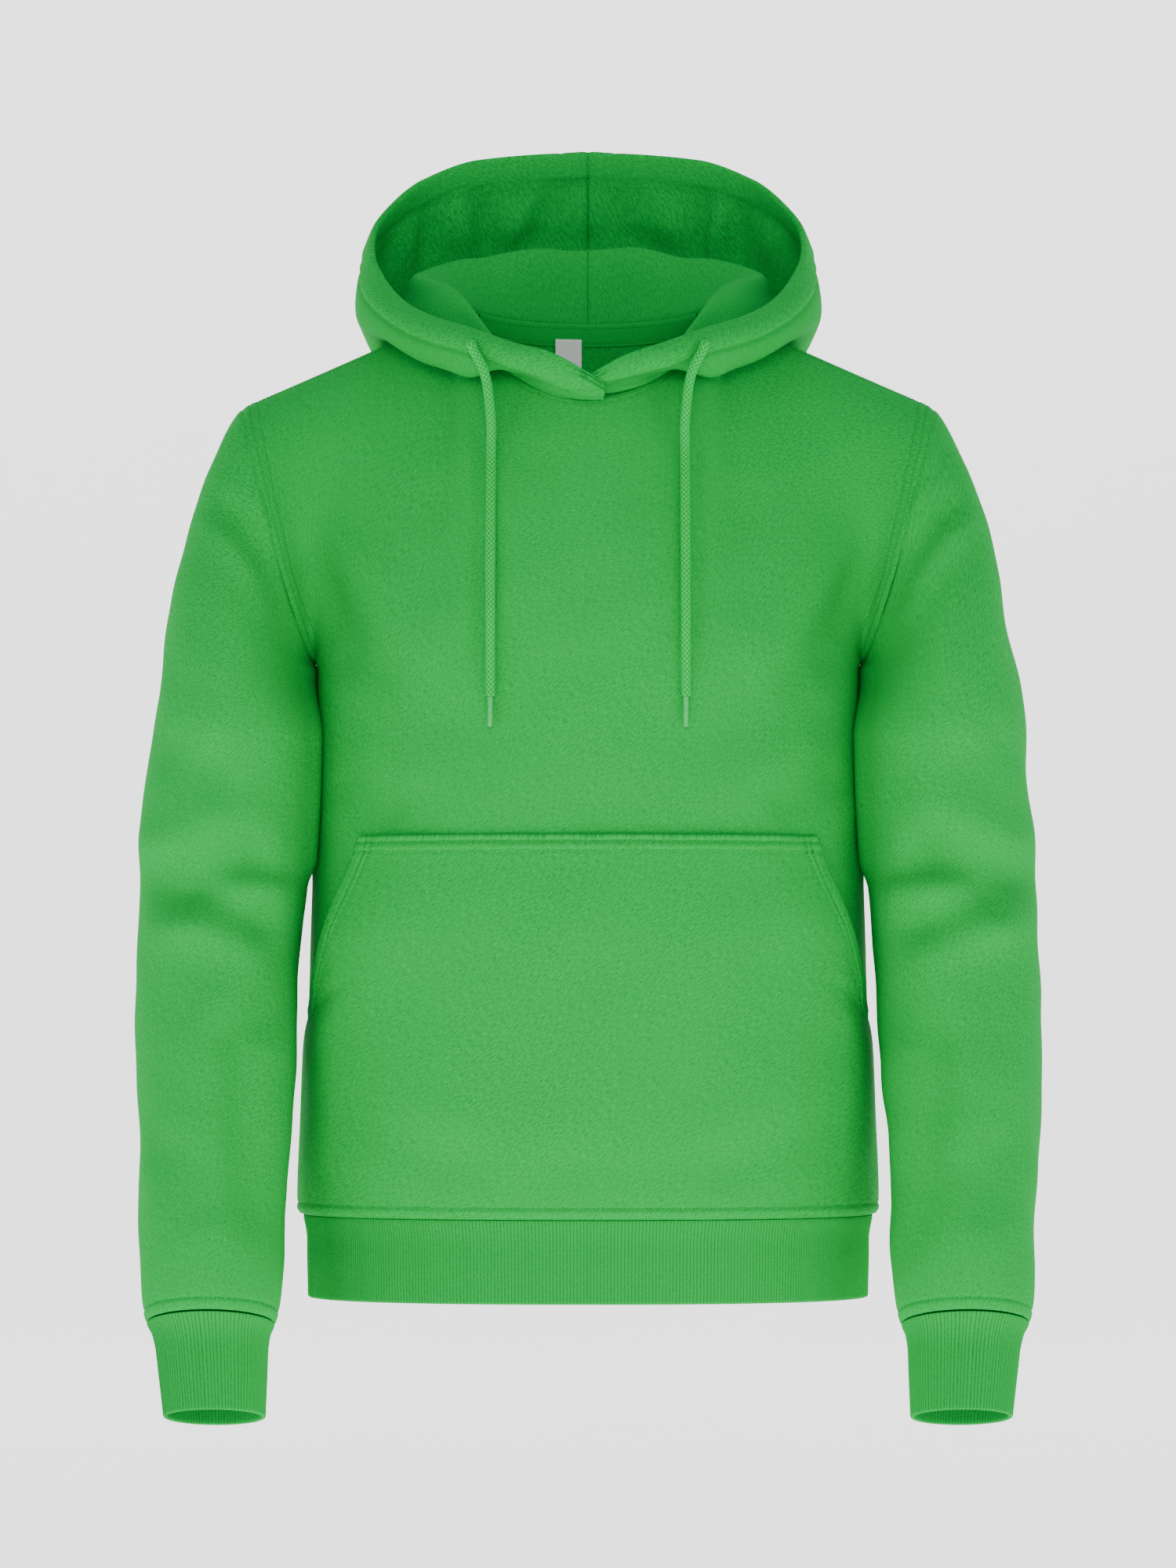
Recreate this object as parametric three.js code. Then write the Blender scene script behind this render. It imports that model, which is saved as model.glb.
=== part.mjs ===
// A pullover hoodie of brushed sweatshirt fleece, filled out as if worn: front and back panels, set-in
// sleeves, a two-panel hood lying open round the neck, a kangaroo pocket, ribbed cuffs and a ribbed hem band.
// Units are millimetres. +Z is up, the front faces -Y, and +X is the wearer's left.
// The origin is midway between the two neck points, where the wearer's shoulders carry the garment.
import * as THREE from "three";

// Cloth
const FLEECE_WALL = 2;
const HOOD_WALL = 3;
const RIB_WALL = 2.6;
const TAPE_WALL = 0.9;
const LABEL_WALL = 0.6;
const SEAM_GAP = 0.3;

// Heights of the seams, and the landmarks of the wearer's left half
const ARMPIT_Z = -250;
const HEM_SEAM_Z = -624;
const NECK_POINT = { x: 84, y: 8, z: 2 };
const SHOULDER_TIP = { x: 239, y: 5, z: -67.5 };
const FRONT_NECK = { y: -93, z: -72 };
const BACK_NECK = { y: 82, z: -1 };
const NECK_CENTRE_Y = -5;
const NECK_DIP = 1.2; // above 1, the neck seam is flatter at the shoulders than at the front

// The body's cross-sections: half width at the side seams, and depth in front of and behind them
const BODY_SECTIONS = [
  { z: -624, halfWidth: 196.0, front: 125, back: 122 },
  { z: -606, halfWidth: 196.6, front: 127, back: 124 },
  { z: -567, halfWidth: 195.2, front: 128, back: 125 },
  { z: -524, halfWidth: 193.7, front: 128, back: 124 },
  { z: -481, halfWidth: 191.8, front: 129, back: 122 },
  { z: -437, halfWidth: 190.8, front: 130, back: 120 },
  { z: -394, halfWidth: 189.5, front: 131, back: 120 },
  { z: -310, halfWidth: 187.2, front: 133, back: 124 },
  { z: -250, halfWidth: 186.0, front: 133, back: 128 },
];
const BODY_SQUARENESS = 2.35; // 2 is an ellipse

// Grid of each body panel, in cells
const NECK_CELLS = 8; // for each half of the front or back neckline
const SHOULDER_CELLS = 6;
const HALF_CELLS = NECK_CELLS + SHOULDER_CELLS;
const LOWER_ROWS = 6;
const ARMHOLE_ROWS = 10;
const NECK_SHARE = 0.38; // share of a panel's half width that ends in the neckline

// How each panel rises from the armpit level to the shoulder: the pull of its curve at either end
const FRONT_RISE = {
  face: -1,
  chestLift: { y: -2, z: 62 },
  overShoulder: { y: -66, z: -19 },
  atNeck: { y: -24, z: -56 },
  armholeLow: { x: 6, y: -92, z: 8 },
  armholeHigh: { x: -1, y: -88, z: -8 },
};
const BACK_RISE = {
  face: 1,
  chestLift: { y: 3, z: 62 },
  overShoulder: { y: 60, z: -7 },
  atNeck: { y: 26, z: -54 },
  armholeLow: { x: 6, y: 96, z: 10 },
  armholeHigh: { x: 0, y: 82, z: -8 },
};

// The sleeve's rings below the armhole, on the wearer's left: centre, half sizes, and forward lean
const SLEEVE_RINGS = [
  { z: -300, x: 240.6, y: -38, across: 57.1, deep: 76, lean: 0 },
  { z: -350, x: 243.9, y: -39, across: 58.9, deep: 69, lean: 3 },
  { z: -378, x: 245.8, y: -40.5, across: 58.5, deep: 67.5, lean: 6 },
  { z: -396, x: 246.9, y: -42, across: 57.9, deep: 62, lean: 8 }, // the fold at the elbow
  { z: -414, x: 248.2, y: -44, across: 57.3, deep: 64.8, lean: 10 },
  { z: -438, x: 250.2, y: -47, across: 56.2, deep: 62, lean: 12 },
  { z: -481, x: 251.6, y: -54, across: 55.3, deep: 60, lean: 14 },
  { z: -524, x: 251.7, y: -63, across: 53.8, deep: 58, lean: 15 },
  { z: -567, x: 252.0, y: -73, across: 51.5, deep: 55.5, lean: 15 },
  { z: -609, x: 251.7, y: -84, across: 49.8, deep: 53, lean: 15.5 },
  { z: -649, x: 251.3, y: -95, across: 48.0, deep: 50.5, lean: 16 },
  { z: -670, x: 250.9, y: -100.6, across: 47.0, deep: 48, lean: 16.5 },
  { z: -684, x: 250.8, y: -104.2, across: 45.0, deep: 44.5, lean: 16.5 },
  { z: -693, x: 251.0, y: -106.6, across: 42.6, deep: 40, lean: 16.5 },
];
const SLEEVE_CAP_ROWS = 5; // between the armhole and the first ring
const SLEEVE_BODY_GAP = 1.4; // where the sleeve hangs against the body
const CAP_PULL = {
  top: { x: 28, y: 0, z: -30 },
  front: { x: 24, y: -14, z: -30 },
  armpit: { x: 1.5, y: 0, z: -14 },
  back: { x: 24, y: 14, z: -30 },
};
const CAP_END_PULL = 0.3; // share of the cap's length over which it turns down into the first ring

// The cuff's rings, from its seam to its open end
const CUFF_RINGS = [
  { z: -693.6, x: 251.0, y: -106.8, across: 40.9, deep: 37, lean: 16.5 },
  { z: -711, x: 249.7, y: -111.6, across: 36.9, deep: 28.5, lean: 17 },
  { z: -753, x: 247.2, y: -121.6, across: 33.8, deep: 25, lean: 17 },
];
const CUFF_RIBS = 48;
const RIB_RELIEF = 0.5;

// The hem band's sections
const HEM_SECTIONS = [
  { z: -624.3, halfWidth: 195.2, front: 124, back: 121 },
  { z: -641, halfWidth: 192.2, front: 121, back: 118 },
  { z: -679, halfWidth: 191.8, front: 120.5, back: 117.5 },
];
const HEM_RIBS = 264;

// The kangaroo pocket, laid on the front panel
const POCKET_TOP_Z = -371;
const POCKET_TOP_HALF = 151.5;
const POCKET_SLOPE = 0.3625; // how far the slanted openings run out for each millimetre down
const POCKET_SIDE_TURN = 0.955; // where the pocket meets the side seam
const POCKET_SLANT_END_Z = -492; // where the slanted opening meets the side seam
const POCKET_BOTTOM_Z = -623;
const POCKET_SEAT = 0.8; // over the facets of the panel
const POCKET_LIFT = { middle: 6, openings: 10 }; // how far the pouch stands off the front
const POCKET_HEM_WIDTH = 12;
const POCKET_HEM_EXTRA = 1.2;
const POCKET_HALF_CELLS = 9;
const POCKET_ROWS = 10;

// The hood lies open round the neck. Each section is at an angle round the neck, 0 at the front centre and
// 180 at the back: the inner collar rises from the neck seam to a crest, falls into the bag, and the outer
// wall rises to the rim. Radii are from the neck's centre.
const HOOD_SECTIONS = [
  { angle: -6, crestR: 88.3, crestZ: -69, fallR: 89.2, fallZ: -67.9, bottomR: 90.1, bottomZ: -67,
    bulgeR: 90.8, bulgeZ: -66.3, upperR: 91.1, upperZ: -65.6, rimR: 91.1, rimZ: -64.6 },
  { angle: 0, crestR: 89.5, crestZ: -68.6, fallR: 91.5, fallZ: -66.9, bottomR: 93, bottomZ: -65.2,
    bulgeR: 94, bulgeZ: -63.5, upperR: 94.4, upperZ: -61.6, rimR: 94, rimZ: -58.8 },
  { angle: 15, crestR: 89.6, crestZ: -64.2, fallR: 94, fallZ: -61.5, bottomR: 98, bottomZ: -60,
    bulgeR: 99.8, bulgeZ: -56, upperR: 100, upperZ: -50, rimR: 98.5, rimZ: -45 },
  { angle: 30, crestR: 89.6, crestZ: -54, fallR: 96, fallZ: -52.5, bottomR: 104, bottomZ: -54,
    bulgeR: 110, bulgeZ: -51, upperR: 110, upperZ: -43, rimR: 105, rimZ: -36.3 },
  { angle: 45, crestR: 94, crestZ: -27, fallR: 100, fallZ: -36, bottomR: 109, bottomZ: -54,
    bulgeR: 120, bulgeZ: -46, upperR: 119.5, upperZ: -33, rimR: 112, rimZ: -25.3 },
  { angle: 60, crestR: 92, crestZ: -6.5, fallR: 101, fallZ: -22, bottomR: 114, bottomZ: -49,
    bulgeR: 129, bulgeZ: -39, upperR: 128, upperZ: -25, rimR: 119.5, rimZ: -15.5 },
  { angle: 75, crestR: 97, crestZ: 11, fallR: 108, fallZ: -4, bottomR: 125, bottomZ: -34,
    bulgeR: 142, bulgeZ: -24, upperR: 140, upperZ: -10, rimR: 128.5, rimZ: -2 },
  { angle: 90, crestR: 108, crestZ: 19.5, fallR: 119, fallZ: 4, bottomR: 137, bottomZ: -17,
    bulgeR: 154, bulgeZ: -9, upperR: 152.5, upperZ: 9, rimR: 140.5, rimZ: 19 },
  { angle: 105, crestR: 124, crestZ: 28, fallR: 132, fallZ: 11, bottomR: 150, bottomZ: -21,
    bulgeR: 165.5, bulgeZ: -5, upperR: 166, upperZ: 24, rimR: 156, rimZ: 48 },
  { angle: 120, crestR: 124, crestZ: 38, fallR: 133, fallZ: -8, bottomR: 154, bottomZ: -44,
    bulgeR: 176, bulgeZ: -14, upperR: 178, upperZ: 45, rimR: 167, rimZ: 79 },
  { angle: 135, crestR: 119, crestZ: 48, fallR: 131, fallZ: -26, bottomR: 154, bottomZ: -66,
    bulgeR: 180, bulgeZ: -24, upperR: 181, upperZ: 60, rimR: 168, rimZ: 108 },
  { angle: 150, crestR: 112, crestZ: 53.5, fallR: 129, fallZ: -40, bottomR: 152, bottomZ: -86,
    bulgeR: 179, bulgeZ: -36, upperR: 176, upperZ: 68, rimR: 158.5, rimZ: 125.5 },
  { angle: 165, crestR: 107, crestZ: 56, fallR: 128, fallZ: -48, bottomR: 150, bottomZ: -98,
    bulgeR: 176, bulgeZ: -46, upperR: 170, upperZ: 71, rimR: 149, rimZ: 130.5 },
  { angle: 180, crestR: 105, crestZ: 57, fallR: 127, fallZ: -52, bottomR: 148, bottomZ: -102,
    bulgeR: 174, bulgeZ: -50, upperR: 167, upperZ: 72, rimR: 145, rimZ: 133 },
];
const HOOD_CELLS = 2 * NECK_CELLS; // from the front centre to the back centre
const HOOD_OVERLAP_CELLS = 1; // past the front centre, where the two halves cross
const HOOD_OVERLAP_ANGLE = 6;
const HOOD_OVER_SHIFT = 2.7; // the half on top
const HOOD_UNDER_SHIFT = -2.4;
const HOOD_SEAT = 1; // how far the middle of its wall is below the panels' face at the neck seam
const HOOD_FRONT_RISE = 1; // the lower half stands this much higher, just above the front edge
const HOOD_REST_GAP = 0.6; // where it lies on the shoulders and chest
const HOOD_STAND = 4; // it stands straight up from its seam before it leans out
const HOOD_ROWS_A_PART = 3; // between one named place of a section and the next
const TUNNEL_WIDTH = 19;
const TUNNEL_ROWS = [0.25, 0.55, 0.82, 1]; // shares of the tunnel's width
const TUNNEL_EXTRA = 1.5; // half thickness added by the cord inside

// Neck tape and label, inside the back neck
const TAPE_LOW_SHARE = 0.08; // shares of the height of the back panel's top cells
const TAPE_HIGH_SHARE = 0.86;
const TAPE_HALF_CELLS = 6;
const LABEL_WIDTH = 18;
const LABEL_LENGTH = 42;
const LABEL_CLEARANCE = 1; // from the facets of the tape
const LABEL_CENTRE_X = -13.8;

// The drawcord's free ends
const CORD_DIAMETER = 6.6;
const CORD_SIDES = 8;
const AGLET_DIAMETER = 4.2;
const AGLET_LENGTH = 20;
const CORD_CLEARANCE = 1.3; // between the cord and the chest
const CORD_ROUTE = [ // chosen by hand, on the wearer's left: from its eyelet, over the hood's edge
  { x: 78.4, y: -100.1, z: -38.4 },
  { x: 76.6, y: -101.2, z: -42.6 },
  { x: 73.6, y: -102.4, z: -48.0 },
  { x: 70.4, y: -103.2, z: -55.0 },
  { x: 68.0, y: -103.9, z: -64.0 },
  { x: 66.6, y: -104.6, z: -74.0 },
];
const CORD_FALL = { x: 65, y: -104.8, fromZ: -92, toZ: -277, steps: 15 }; // straight down the chest

// Colours, from the photograph
const GREEN = new THREE.Color(0x3fae4b);
const CORD_GREEN = new THREE.Color(0x5cc267);
const WHITE = new THREE.Color(0xf2f2f4);
const fleece = new THREE.MeshStandardMaterial({ color: GREEN, roughness: 0.92, metalness: 0 });
const rib = new THREE.MeshStandardMaterial({ color: GREEN, roughness: 0.88, metalness: 0 });
const braid = new THREE.MeshStandardMaterial({ color: CORD_GREEN, roughness: 0.8, metalness: 0 });
const plastic = new THREE.MeshStandardMaterial({ color: CORD_GREEN, roughness: 0.35, metalness: 0 });
const satin = new THREE.MeshStandardMaterial({ color: WHITE, roughness: 0.6, metalness: 0 });

const radians = THREE.MathUtils.degToRad;
const vec = (p) => new THREE.Vector3(p.x ?? 0, p.y ?? 0, p.z ?? 0);
const ease = (from, to, at) => THREE.MathUtils.smoothstep(at, from, to);

// Every column of a table at one value of its key, along smooth curves that never overshoot
function readTable(rows, key, at) {
  const up = rows[rows.length - 1][key] > rows[0][key] ? 1 : -1;
  let i = 0;
  while (i < rows.length - 2 && up * (at - rows[i + 1][key]) > 0) i += 1;
  const step = rows[i + 1][key] - rows[i][key];
  const t = THREE.MathUtils.clamp((at - rows[i][key]) / step, 0, 1);
  const found = {};
  for (const column of Object.keys(rows[0])) {
    const slope = (a) => (rows[a + 1][column] - rows[a][column]) / (rows[a + 1][key] - rows[a][key]);
    const tangent = (a) => {
      if (a === 0) return slope(0);
      if (a === rows.length - 1) return slope(a - 1);
      const before = slope(a - 1);
      const after = slope(a);
      return before * after > 0 ? (2 * before * after) / (before + after) : 0;
    };
    const square = t * t;
    const cube = square * t;
    found[column] =
      (2 * cube - 3 * square + 1) * rows[i][column] +
      (cube - 2 * square + t) * step * tangent(i) +
      (3 * square - 2 * cube) * rows[i + 1][column] +
      (cube - square) * step * tangent(i + 1);
  }
  return found;
}

const bezier = (a, b, c, d, t) =>
  new THREE.Vector3()
    .addScaledVector(a, (1 - t) ** 3)
    .addScaledVector(b, 3 * t * (1 - t) ** 2)
    .addScaledVector(c, 3 * t * t * (1 - t))
    .addScaledVector(d, t ** 3);

// A point of a body section. turn is 0 at the centre, and 1 or -1 at the side seams.
function sectionPoint(section, turn, face) {
  const depth = face < 0 ? section.front : section.back;
  const angle = radians(90 * turn);
  const polar = Math.atan2(section.halfWidth * Math.sin(angle), depth * Math.cos(angle));
  const radius =
    (Math.abs(Math.sin(polar) / section.halfWidth) ** BODY_SQUARENESS +
      Math.abs(Math.cos(polar) / depth) ** BODY_SQUARENESS) **
    (-1 / BODY_SQUARENESS);
  return new THREE.Vector3(radius * Math.sin(polar), face * radius * Math.cos(polar), section.z);
}

// The neck seam, 0 at the front centre, 90 at the wearer's left neck point and 180 at the back centre
function neckPoint(angle) {
  const cosine = Math.cos(radians(angle));
  const end = cosine > 0 ? FRONT_NECK : BACK_NECK;
  const share = Math.abs(cosine);
  return new THREE.Vector3(
    NECK_POINT.x * Math.sin(radians(angle)),
    THREE.MathUtils.lerp(NECK_POINT.y, end.y, share),
    THREE.MathUtils.lerp(NECK_POINT.z, end.z, share ** NECK_DIP),
  );
}

// The upper edge of a body panel: half the neckline, then the shoulder seam
function topPoint(turn, face) {
  const share = Math.abs(turn);
  const side = Math.sign(turn) || 1;
  let point;
  if (share <= NECK_SHARE) {
    const angle = (90 * share) / NECK_SHARE;
    point = neckPoint(face < 0 ? angle : 180 - angle);
  } else {
    point = vec(NECK_POINT).lerp(vec(SHOULDER_TIP), (share - NECK_SHARE) / (1 - NECK_SHARE));
  }
  point.x *= side;
  return point;
}

// A point of the front or back panel: height is 0 at the hem seam, 1 at the armpit and 2 at the top edge
function panelPoint(rise, turn, height) {
  if (height <= 1) {
    const z = THREE.MathUtils.lerp(HEM_SEAM_Z, ARMPIT_Z, height);
    return sectionPoint({ ...readTable(BODY_SECTIONS, "z", z), z }, turn, rise.face);
  }
  const side = Math.sign(turn) || 1;
  const atArmhole = Math.abs(turn) ** 7;
  const low = sectionPoint(readTable(BODY_SECTIONS, "z", ARMPIT_Z), turn, rise.face);
  const top = topPoint(turn, rise.face);
  const neckward = 1 - ease(0.15, 1, Math.abs(turn) / NECK_SHARE);
  const mirrored = (p) => new THREE.Vector3(side * p.x, p.y, p.z);
  const lift = vec(rise.chestLift).lerp(mirrored(rise.armholeLow), atArmhole);
  const drop = vec(rise.overShoulder)
    .lerp(vec(rise.atNeck), neckward)
    .lerp(mirrored(rise.armholeHigh), atArmhole);
  return bezier(low, low.clone().add(lift), top.clone().add(drop), top, height - 1);
}

// Shares across a panel, closer together where the neckline is
function panelTurns() {
  const half = [];
  for (let i = 1; i <= NECK_CELLS; i += 1) half.push((NECK_SHARE * i) / NECK_CELLS);
  for (let i = 1; i <= SHOULDER_CELLS; i += 1) half.push(NECK_SHARE + ((1 - NECK_SHARE) * i) / SHOULDER_CELLS);
  return [...half.map((t) => -t).reverse(), 0, ...half];
}

function panelHeights() {
  const heights = [];
  for (let i = 0; i <= LOWER_ROWS; i += 1) heights.push(i / LOWER_ROWS);
  for (let i = 1; i <= ARMHOLE_ROWS; i += 1) heights.push(1 + i / ARMHOLE_ROWS);
  return heights;
}

// The way each point of a grid faces. A grid is a list of rows of points; a closed one joins its row's ends.
function gridNormals(grid, closed) {
  return grid.map((row, i) =>
    row.map((_, j) => {
      const above = grid[Math.min(i + 1, grid.length - 1)][j];
      const below = grid[Math.max(i - 1, 0)][j];
      const count = row.length;
      const right = closed ? row[(j + 1) % count] : row[Math.min(j + 1, count - 1)];
      const left = closed ? row[(j + count - 1) % count] : row[Math.max(j - 1, 0)];
      const along = right.clone().sub(left);
      return along.cross(above.clone().sub(below)).normalize();
    }),
  );
}

// A closed wall between two grids of points. outer faces out when its rows go up and its columns go right.
// Each cell is split along its shorter diagonal.
function wallGeometry(outer, inner, closed = false) {
  const rows = outer.length;
  const columns = outer[0].length;
  const points = [...outer.flat(), ...inner.flat()];
  const offset = rows * columns;
  const at = (i, j, deep) => (deep ? offset : 0) + i * columns + (j % columns);
  const triangles = [];
  const quad = (a, b, c, d) => triangles.push(a, b, c, a, c, d);
  const edge = (a, b, c, d) => {
    const shorter = points[a].distanceTo(points[c]) < points[b].distanceTo(points[d]);
    return shorter ? quad(a, b, c, d) : quad(b, c, d, a);
  };
  const lastColumn = closed ? columns : columns - 1;
  for (let i = 0; i < rows - 1; i += 1) {
    for (let j = 0; j < lastColumn; j += 1) {
      const next = (j + 1) % columns;
      const rising = outer[i][j].distanceTo(outer[i + 1][next]);
      const falling = outer[i][next].distanceTo(outer[i + 1][j]);
      if (rising < falling - 1e-4 || (Math.abs(rising - falling) <= 1e-4 && outer[i][j].x < 0)) {
        quad(at(i, j), at(i, j + 1), at(i + 1, j + 1), at(i + 1, j));
        quad(at(i, j, true), at(i + 1, j, true), at(i + 1, j + 1, true), at(i, j + 1, true));
      } else {
        quad(at(i, j + 1), at(i + 1, j + 1), at(i + 1, j), at(i, j));
        quad(at(i, j + 1, true), at(i, j, true), at(i + 1, j, true), at(i + 1, j + 1, true));
      }
    }
    if (!closed) {
      edge(at(i, 0, true), at(i, 0), at(i + 1, 0), at(i + 1, 0, true));
      edge(at(i, lastColumn), at(i, lastColumn, true), at(i + 1, lastColumn, true), at(i + 1, lastColumn));
    }
  }
  for (let j = 0; j < lastColumn; j += 1) {
    edge(at(0, j, true), at(0, j + 1, true), at(0, j + 1), at(0, j));
    edge(at(rows - 1, j), at(rows - 1, j + 1), at(rows - 1, j + 1, true), at(rows - 1, j, true));
  }
  const positions = points.flatMap((p) => [p.x, p.y, p.z]);
  const geometry = new THREE.BufferGeometry();
  geometry.setAttribute("position", new THREE.Float32BufferAttribute(positions, 3));
  geometry.setIndex(triangles);
  geometry.computeVertexNormals();
  return geometry;
}

// The same grid moved along its normals
const movedGrid = (grid, normals, distance) =>
  grid.map((row, i) => row.map((p, j) => p.clone().addScaledVector(normals[i][j], distance)));

// The direction of a line of points at one of them
function edgeTangent(line, j, closed = false) {
  const count = line.length;
  const next = closed ? line[(j + 1) % count] : line[Math.min(j + 1, count - 1)];
  const before = closed ? line[(j + count - 1) % count] : line[Math.max(j - 1, 0)];
  return next.clone().sub(before).normalize();
}

// Draws a grid's edges in by half a seam gap, square to the seam
function trimEdges(grid, normals, closed = false) {
  const rows = grid.length;
  const columns = grid[0].length;
  const moved = grid.map((row) => row.map((p) => p.clone()));
  const draw = (i, j, tangent, toward) => {
    const way = normals[i][j].clone().cross(tangent).normalize();
    moved[i][j].addScaledVector(way, (toward * SEAM_GAP) / 2);
  };
  for (let j = 0; j < columns; j += 1) {
    draw(0, j, edgeTangent(grid[0], j, closed), 1);
    draw(rows - 1, j, edgeTangent(grid[rows - 1], j, closed), -1);
  }
  for (let i = 0; !closed && i < rows; i += 1) {
    draw(i, 0, edgeTangent(grid.map((row) => row[0]), i), -1);
    draw(i, columns - 1, edgeTangent(grid.map((row) => row[columns - 1]), i), 1);
  }
  return moved;
}

// Front and back panels share their side and shoulder seams, so their edges face the same way there
const turns = panelTurns();
const heights = panelHeights();
const faceGrid = (rise) => heights.map((h) => turns.map((t) => panelPoint(rise, rise.face < 0 ? t : -t, h)));
const frontGrid = faceGrid(FRONT_RISE);
const backGrid = faceGrid(BACK_RISE);
const frontNormals = gridNormals(frontGrid, false);
const backNormals = gridNormals(backGrid, false);

function shareNormal(...normals) {
  const mean = normals.reduce((sum, n) => sum.add(n), new THREE.Vector3()).normalize();
  for (const n of normals) n.copy(mean);
}

// The sleeve's grid on the wearer's left: columns start at the shoulder tip and go round by the front
const armholeRows = heights.map((h, i) => i).filter((i) => heights[i] >= 1);
function armholeRing() {
  const front = armholeRows.map((i) => ({ grid: "front", i })).reverse();
  const back = armholeRows.map((i) => ({ grid: "back", i })).slice(1, -1);
  return [...front, ...back].map(({ grid, i }) => {
    const last = turns.length - 1;
    return grid === "front"
      ? { point: frontGrid[i][last], normal: frontNormals[i][last] }
      : { point: backGrid[i][0], normal: backNormals[i][0] };
  });
}

// How far out the body reaches beside a sleeve
function bodySideX(y, z) {
  const section = readTable(BODY_SECTIONS, "z", THREE.MathUtils.clamp(z, HEM_SEAM_Z, ARMPIT_Z));
  const depth = y < 0 ? section.front : section.back;
  const share = Math.min(Math.abs(y) / depth, 1);
  return section.halfWidth * (1 - share ** BODY_SQUARENESS) ** (1 / BODY_SQUARENESS);
}

// A point of a leaning ring. angle is 0 at the outside of the arm and 90 at its front.
function ringPoint(ring, angle) {
  const lean = radians(ring.lean);
  const across = ring.across * Math.cos(radians(angle));
  const deep = -ring.deep * Math.sin(radians(angle));
  return new THREE.Vector3(
    ring.x + across,
    ring.y + deep * Math.cos(lean),
    ring.z - deep * Math.sin(lean),
  );
}

function clearOfBody(point) {
  if (point.z > ARMPIT_Z) return point;
  const nearest = bodySideX(point.y, point.z) + SLEEVE_BODY_GAP * ease(0, 30, ARMPIT_Z - point.z);
  point.x = Math.max(point.x, nearest);
  return point;
}

function sleeveGrid() {
  const ring = armholeRing();
  const columns = ring.length;
  const rows = [];
  for (let k = 0; k < SLEEVE_CAP_ROWS; k += 1) {
    rows.push(
      ring.map(({ point }, j) => {
        const angle = (360 * j) / columns;
        const round = Math.cos(radians(angle));
        const sideways = Math.sin(radians(angle));
        const pull = new THREE.Vector3()
          .addScaledVector(vec(round > 0 ? CAP_PULL.top : CAP_PULL.armpit), Math.abs(round))
          .addScaledVector(vec(sideways > 0 ? CAP_PULL.front : CAP_PULL.back), Math.abs(sideways));
        const end = ringPoint(SLEEVE_RINGS[0], angle);
        const start = point.clone();
        const rise = CAP_END_PULL * end.distanceTo(start);
        const before = end.clone().add(new THREE.Vector3(-0.08 * rise * Math.max(round, 0), 0, rise));
        const made = bezier(start, start.clone().add(pull), before, end, k / SLEEVE_CAP_ROWS);
        return k > 0 ? clearOfBody(made) : made;
      }),
    );
  }
  for (const section of SLEEVE_RINGS) {
    rows.push(ring.map((_, j) => clearOfBody(ringPoint(section, (360 * j) / columns))));
  }
  return rows;
}

const leftSleeve = sleeveGrid();
const leftSleeveNormals = gridNormals(leftSleeve, true);

function joinArmholeNormals() {
  const last = turns.length - 1;
  armholeRing().forEach(({ normal }, j) => {
    // Where the two fold back against each other, at the armpit, each keeps some of its own direction
    const own = leftSleeveNormals[0][j];
    const fromArmpit = j - ARMHOLE_ROWS;
    const folded = Math.max(0, 1 - Math.abs(fromArmpit) / 3.5);
    const mean = normal.clone().add(own).normalize();
    mean.lerp(new THREE.Vector3(0, 0.2 * fromArmpit, -1), Math.min(1, 1.4 * folded)).normalize();
    normal.copy(mean).add(new THREE.Vector3(folded, 0, 0)).normalize();
    own.copy(mean).sub(new THREE.Vector3(folded, 0, 0)).normalize();
  });
  for (const i of heights.keys()) {
    if (heights[i] <= 1) shareNormal(frontNormals[i][last], backNormals[i][0]);
  }
  // The shoulder seam, and the mirror of everything on the wearer's other side
  const top = heights.length - 1;
  turns.forEach((turn, j) => {
    if (turn > NECK_SHARE - 1e-6) shareNormal(frontNormals[top][j], backNormals[top][last - j]);
  });
  leftSleeveNormals[0][0].copy(frontNormals[top][last]);
  const mirror = (normals) =>
    normals.forEach((row) =>
      row.forEach((n, j) => {
        const twin = row[last - j];
        if (turns[j] < 0) n.set(-twin.x, twin.y, twin.z);
      }),
    );
  const mirrorBack = (normals) =>
    normals.forEach((row) =>
      row.forEach((n, j) => {
        const twin = row[last - j];
        if (turns[j] > 0) n.set(-twin.x, twin.y, twin.z);
      }),
    );
  mirror(frontNormals);
  mirrorBack(backNormals);
}
joinArmholeNormals();

function named(name, geometry, material) {
  const mesh = new THREE.Mesh(geometry, material);
  mesh.name = name;
  return mesh;
}

function bodyPanel(name, grid, normals) {
  const outer = trimEdges(grid, normals);
  const inner = movedGrid(outer, normals, -FLEECE_WALL);
  return named(name, wallGeometry(outer, inner), fleece);
}

// A geometry mirrored to the wearer's other side, its faces turned to face out again
function mirroredGeometry(geometry) {
  const made = geometry.clone().scale(-1, 1, 1);
  const index = Array.from(made.index.array);
  for (let i = 0; i < index.length; i += 3) [index[i + 1], index[i + 2]] = [index[i + 2], index[i + 1]];
  made.setIndex(index);
  made.computeVertexNormals();
  return made;
}

function sleeveGeometry() {
  const outer = trimEdges(leftSleeve, leftSleeveNormals, true);
  const inner = movedGrid(outer, leftSleeveNormals, -FLEECE_WALL);
  return wallGeometry(outer, inner, true);
}

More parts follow.
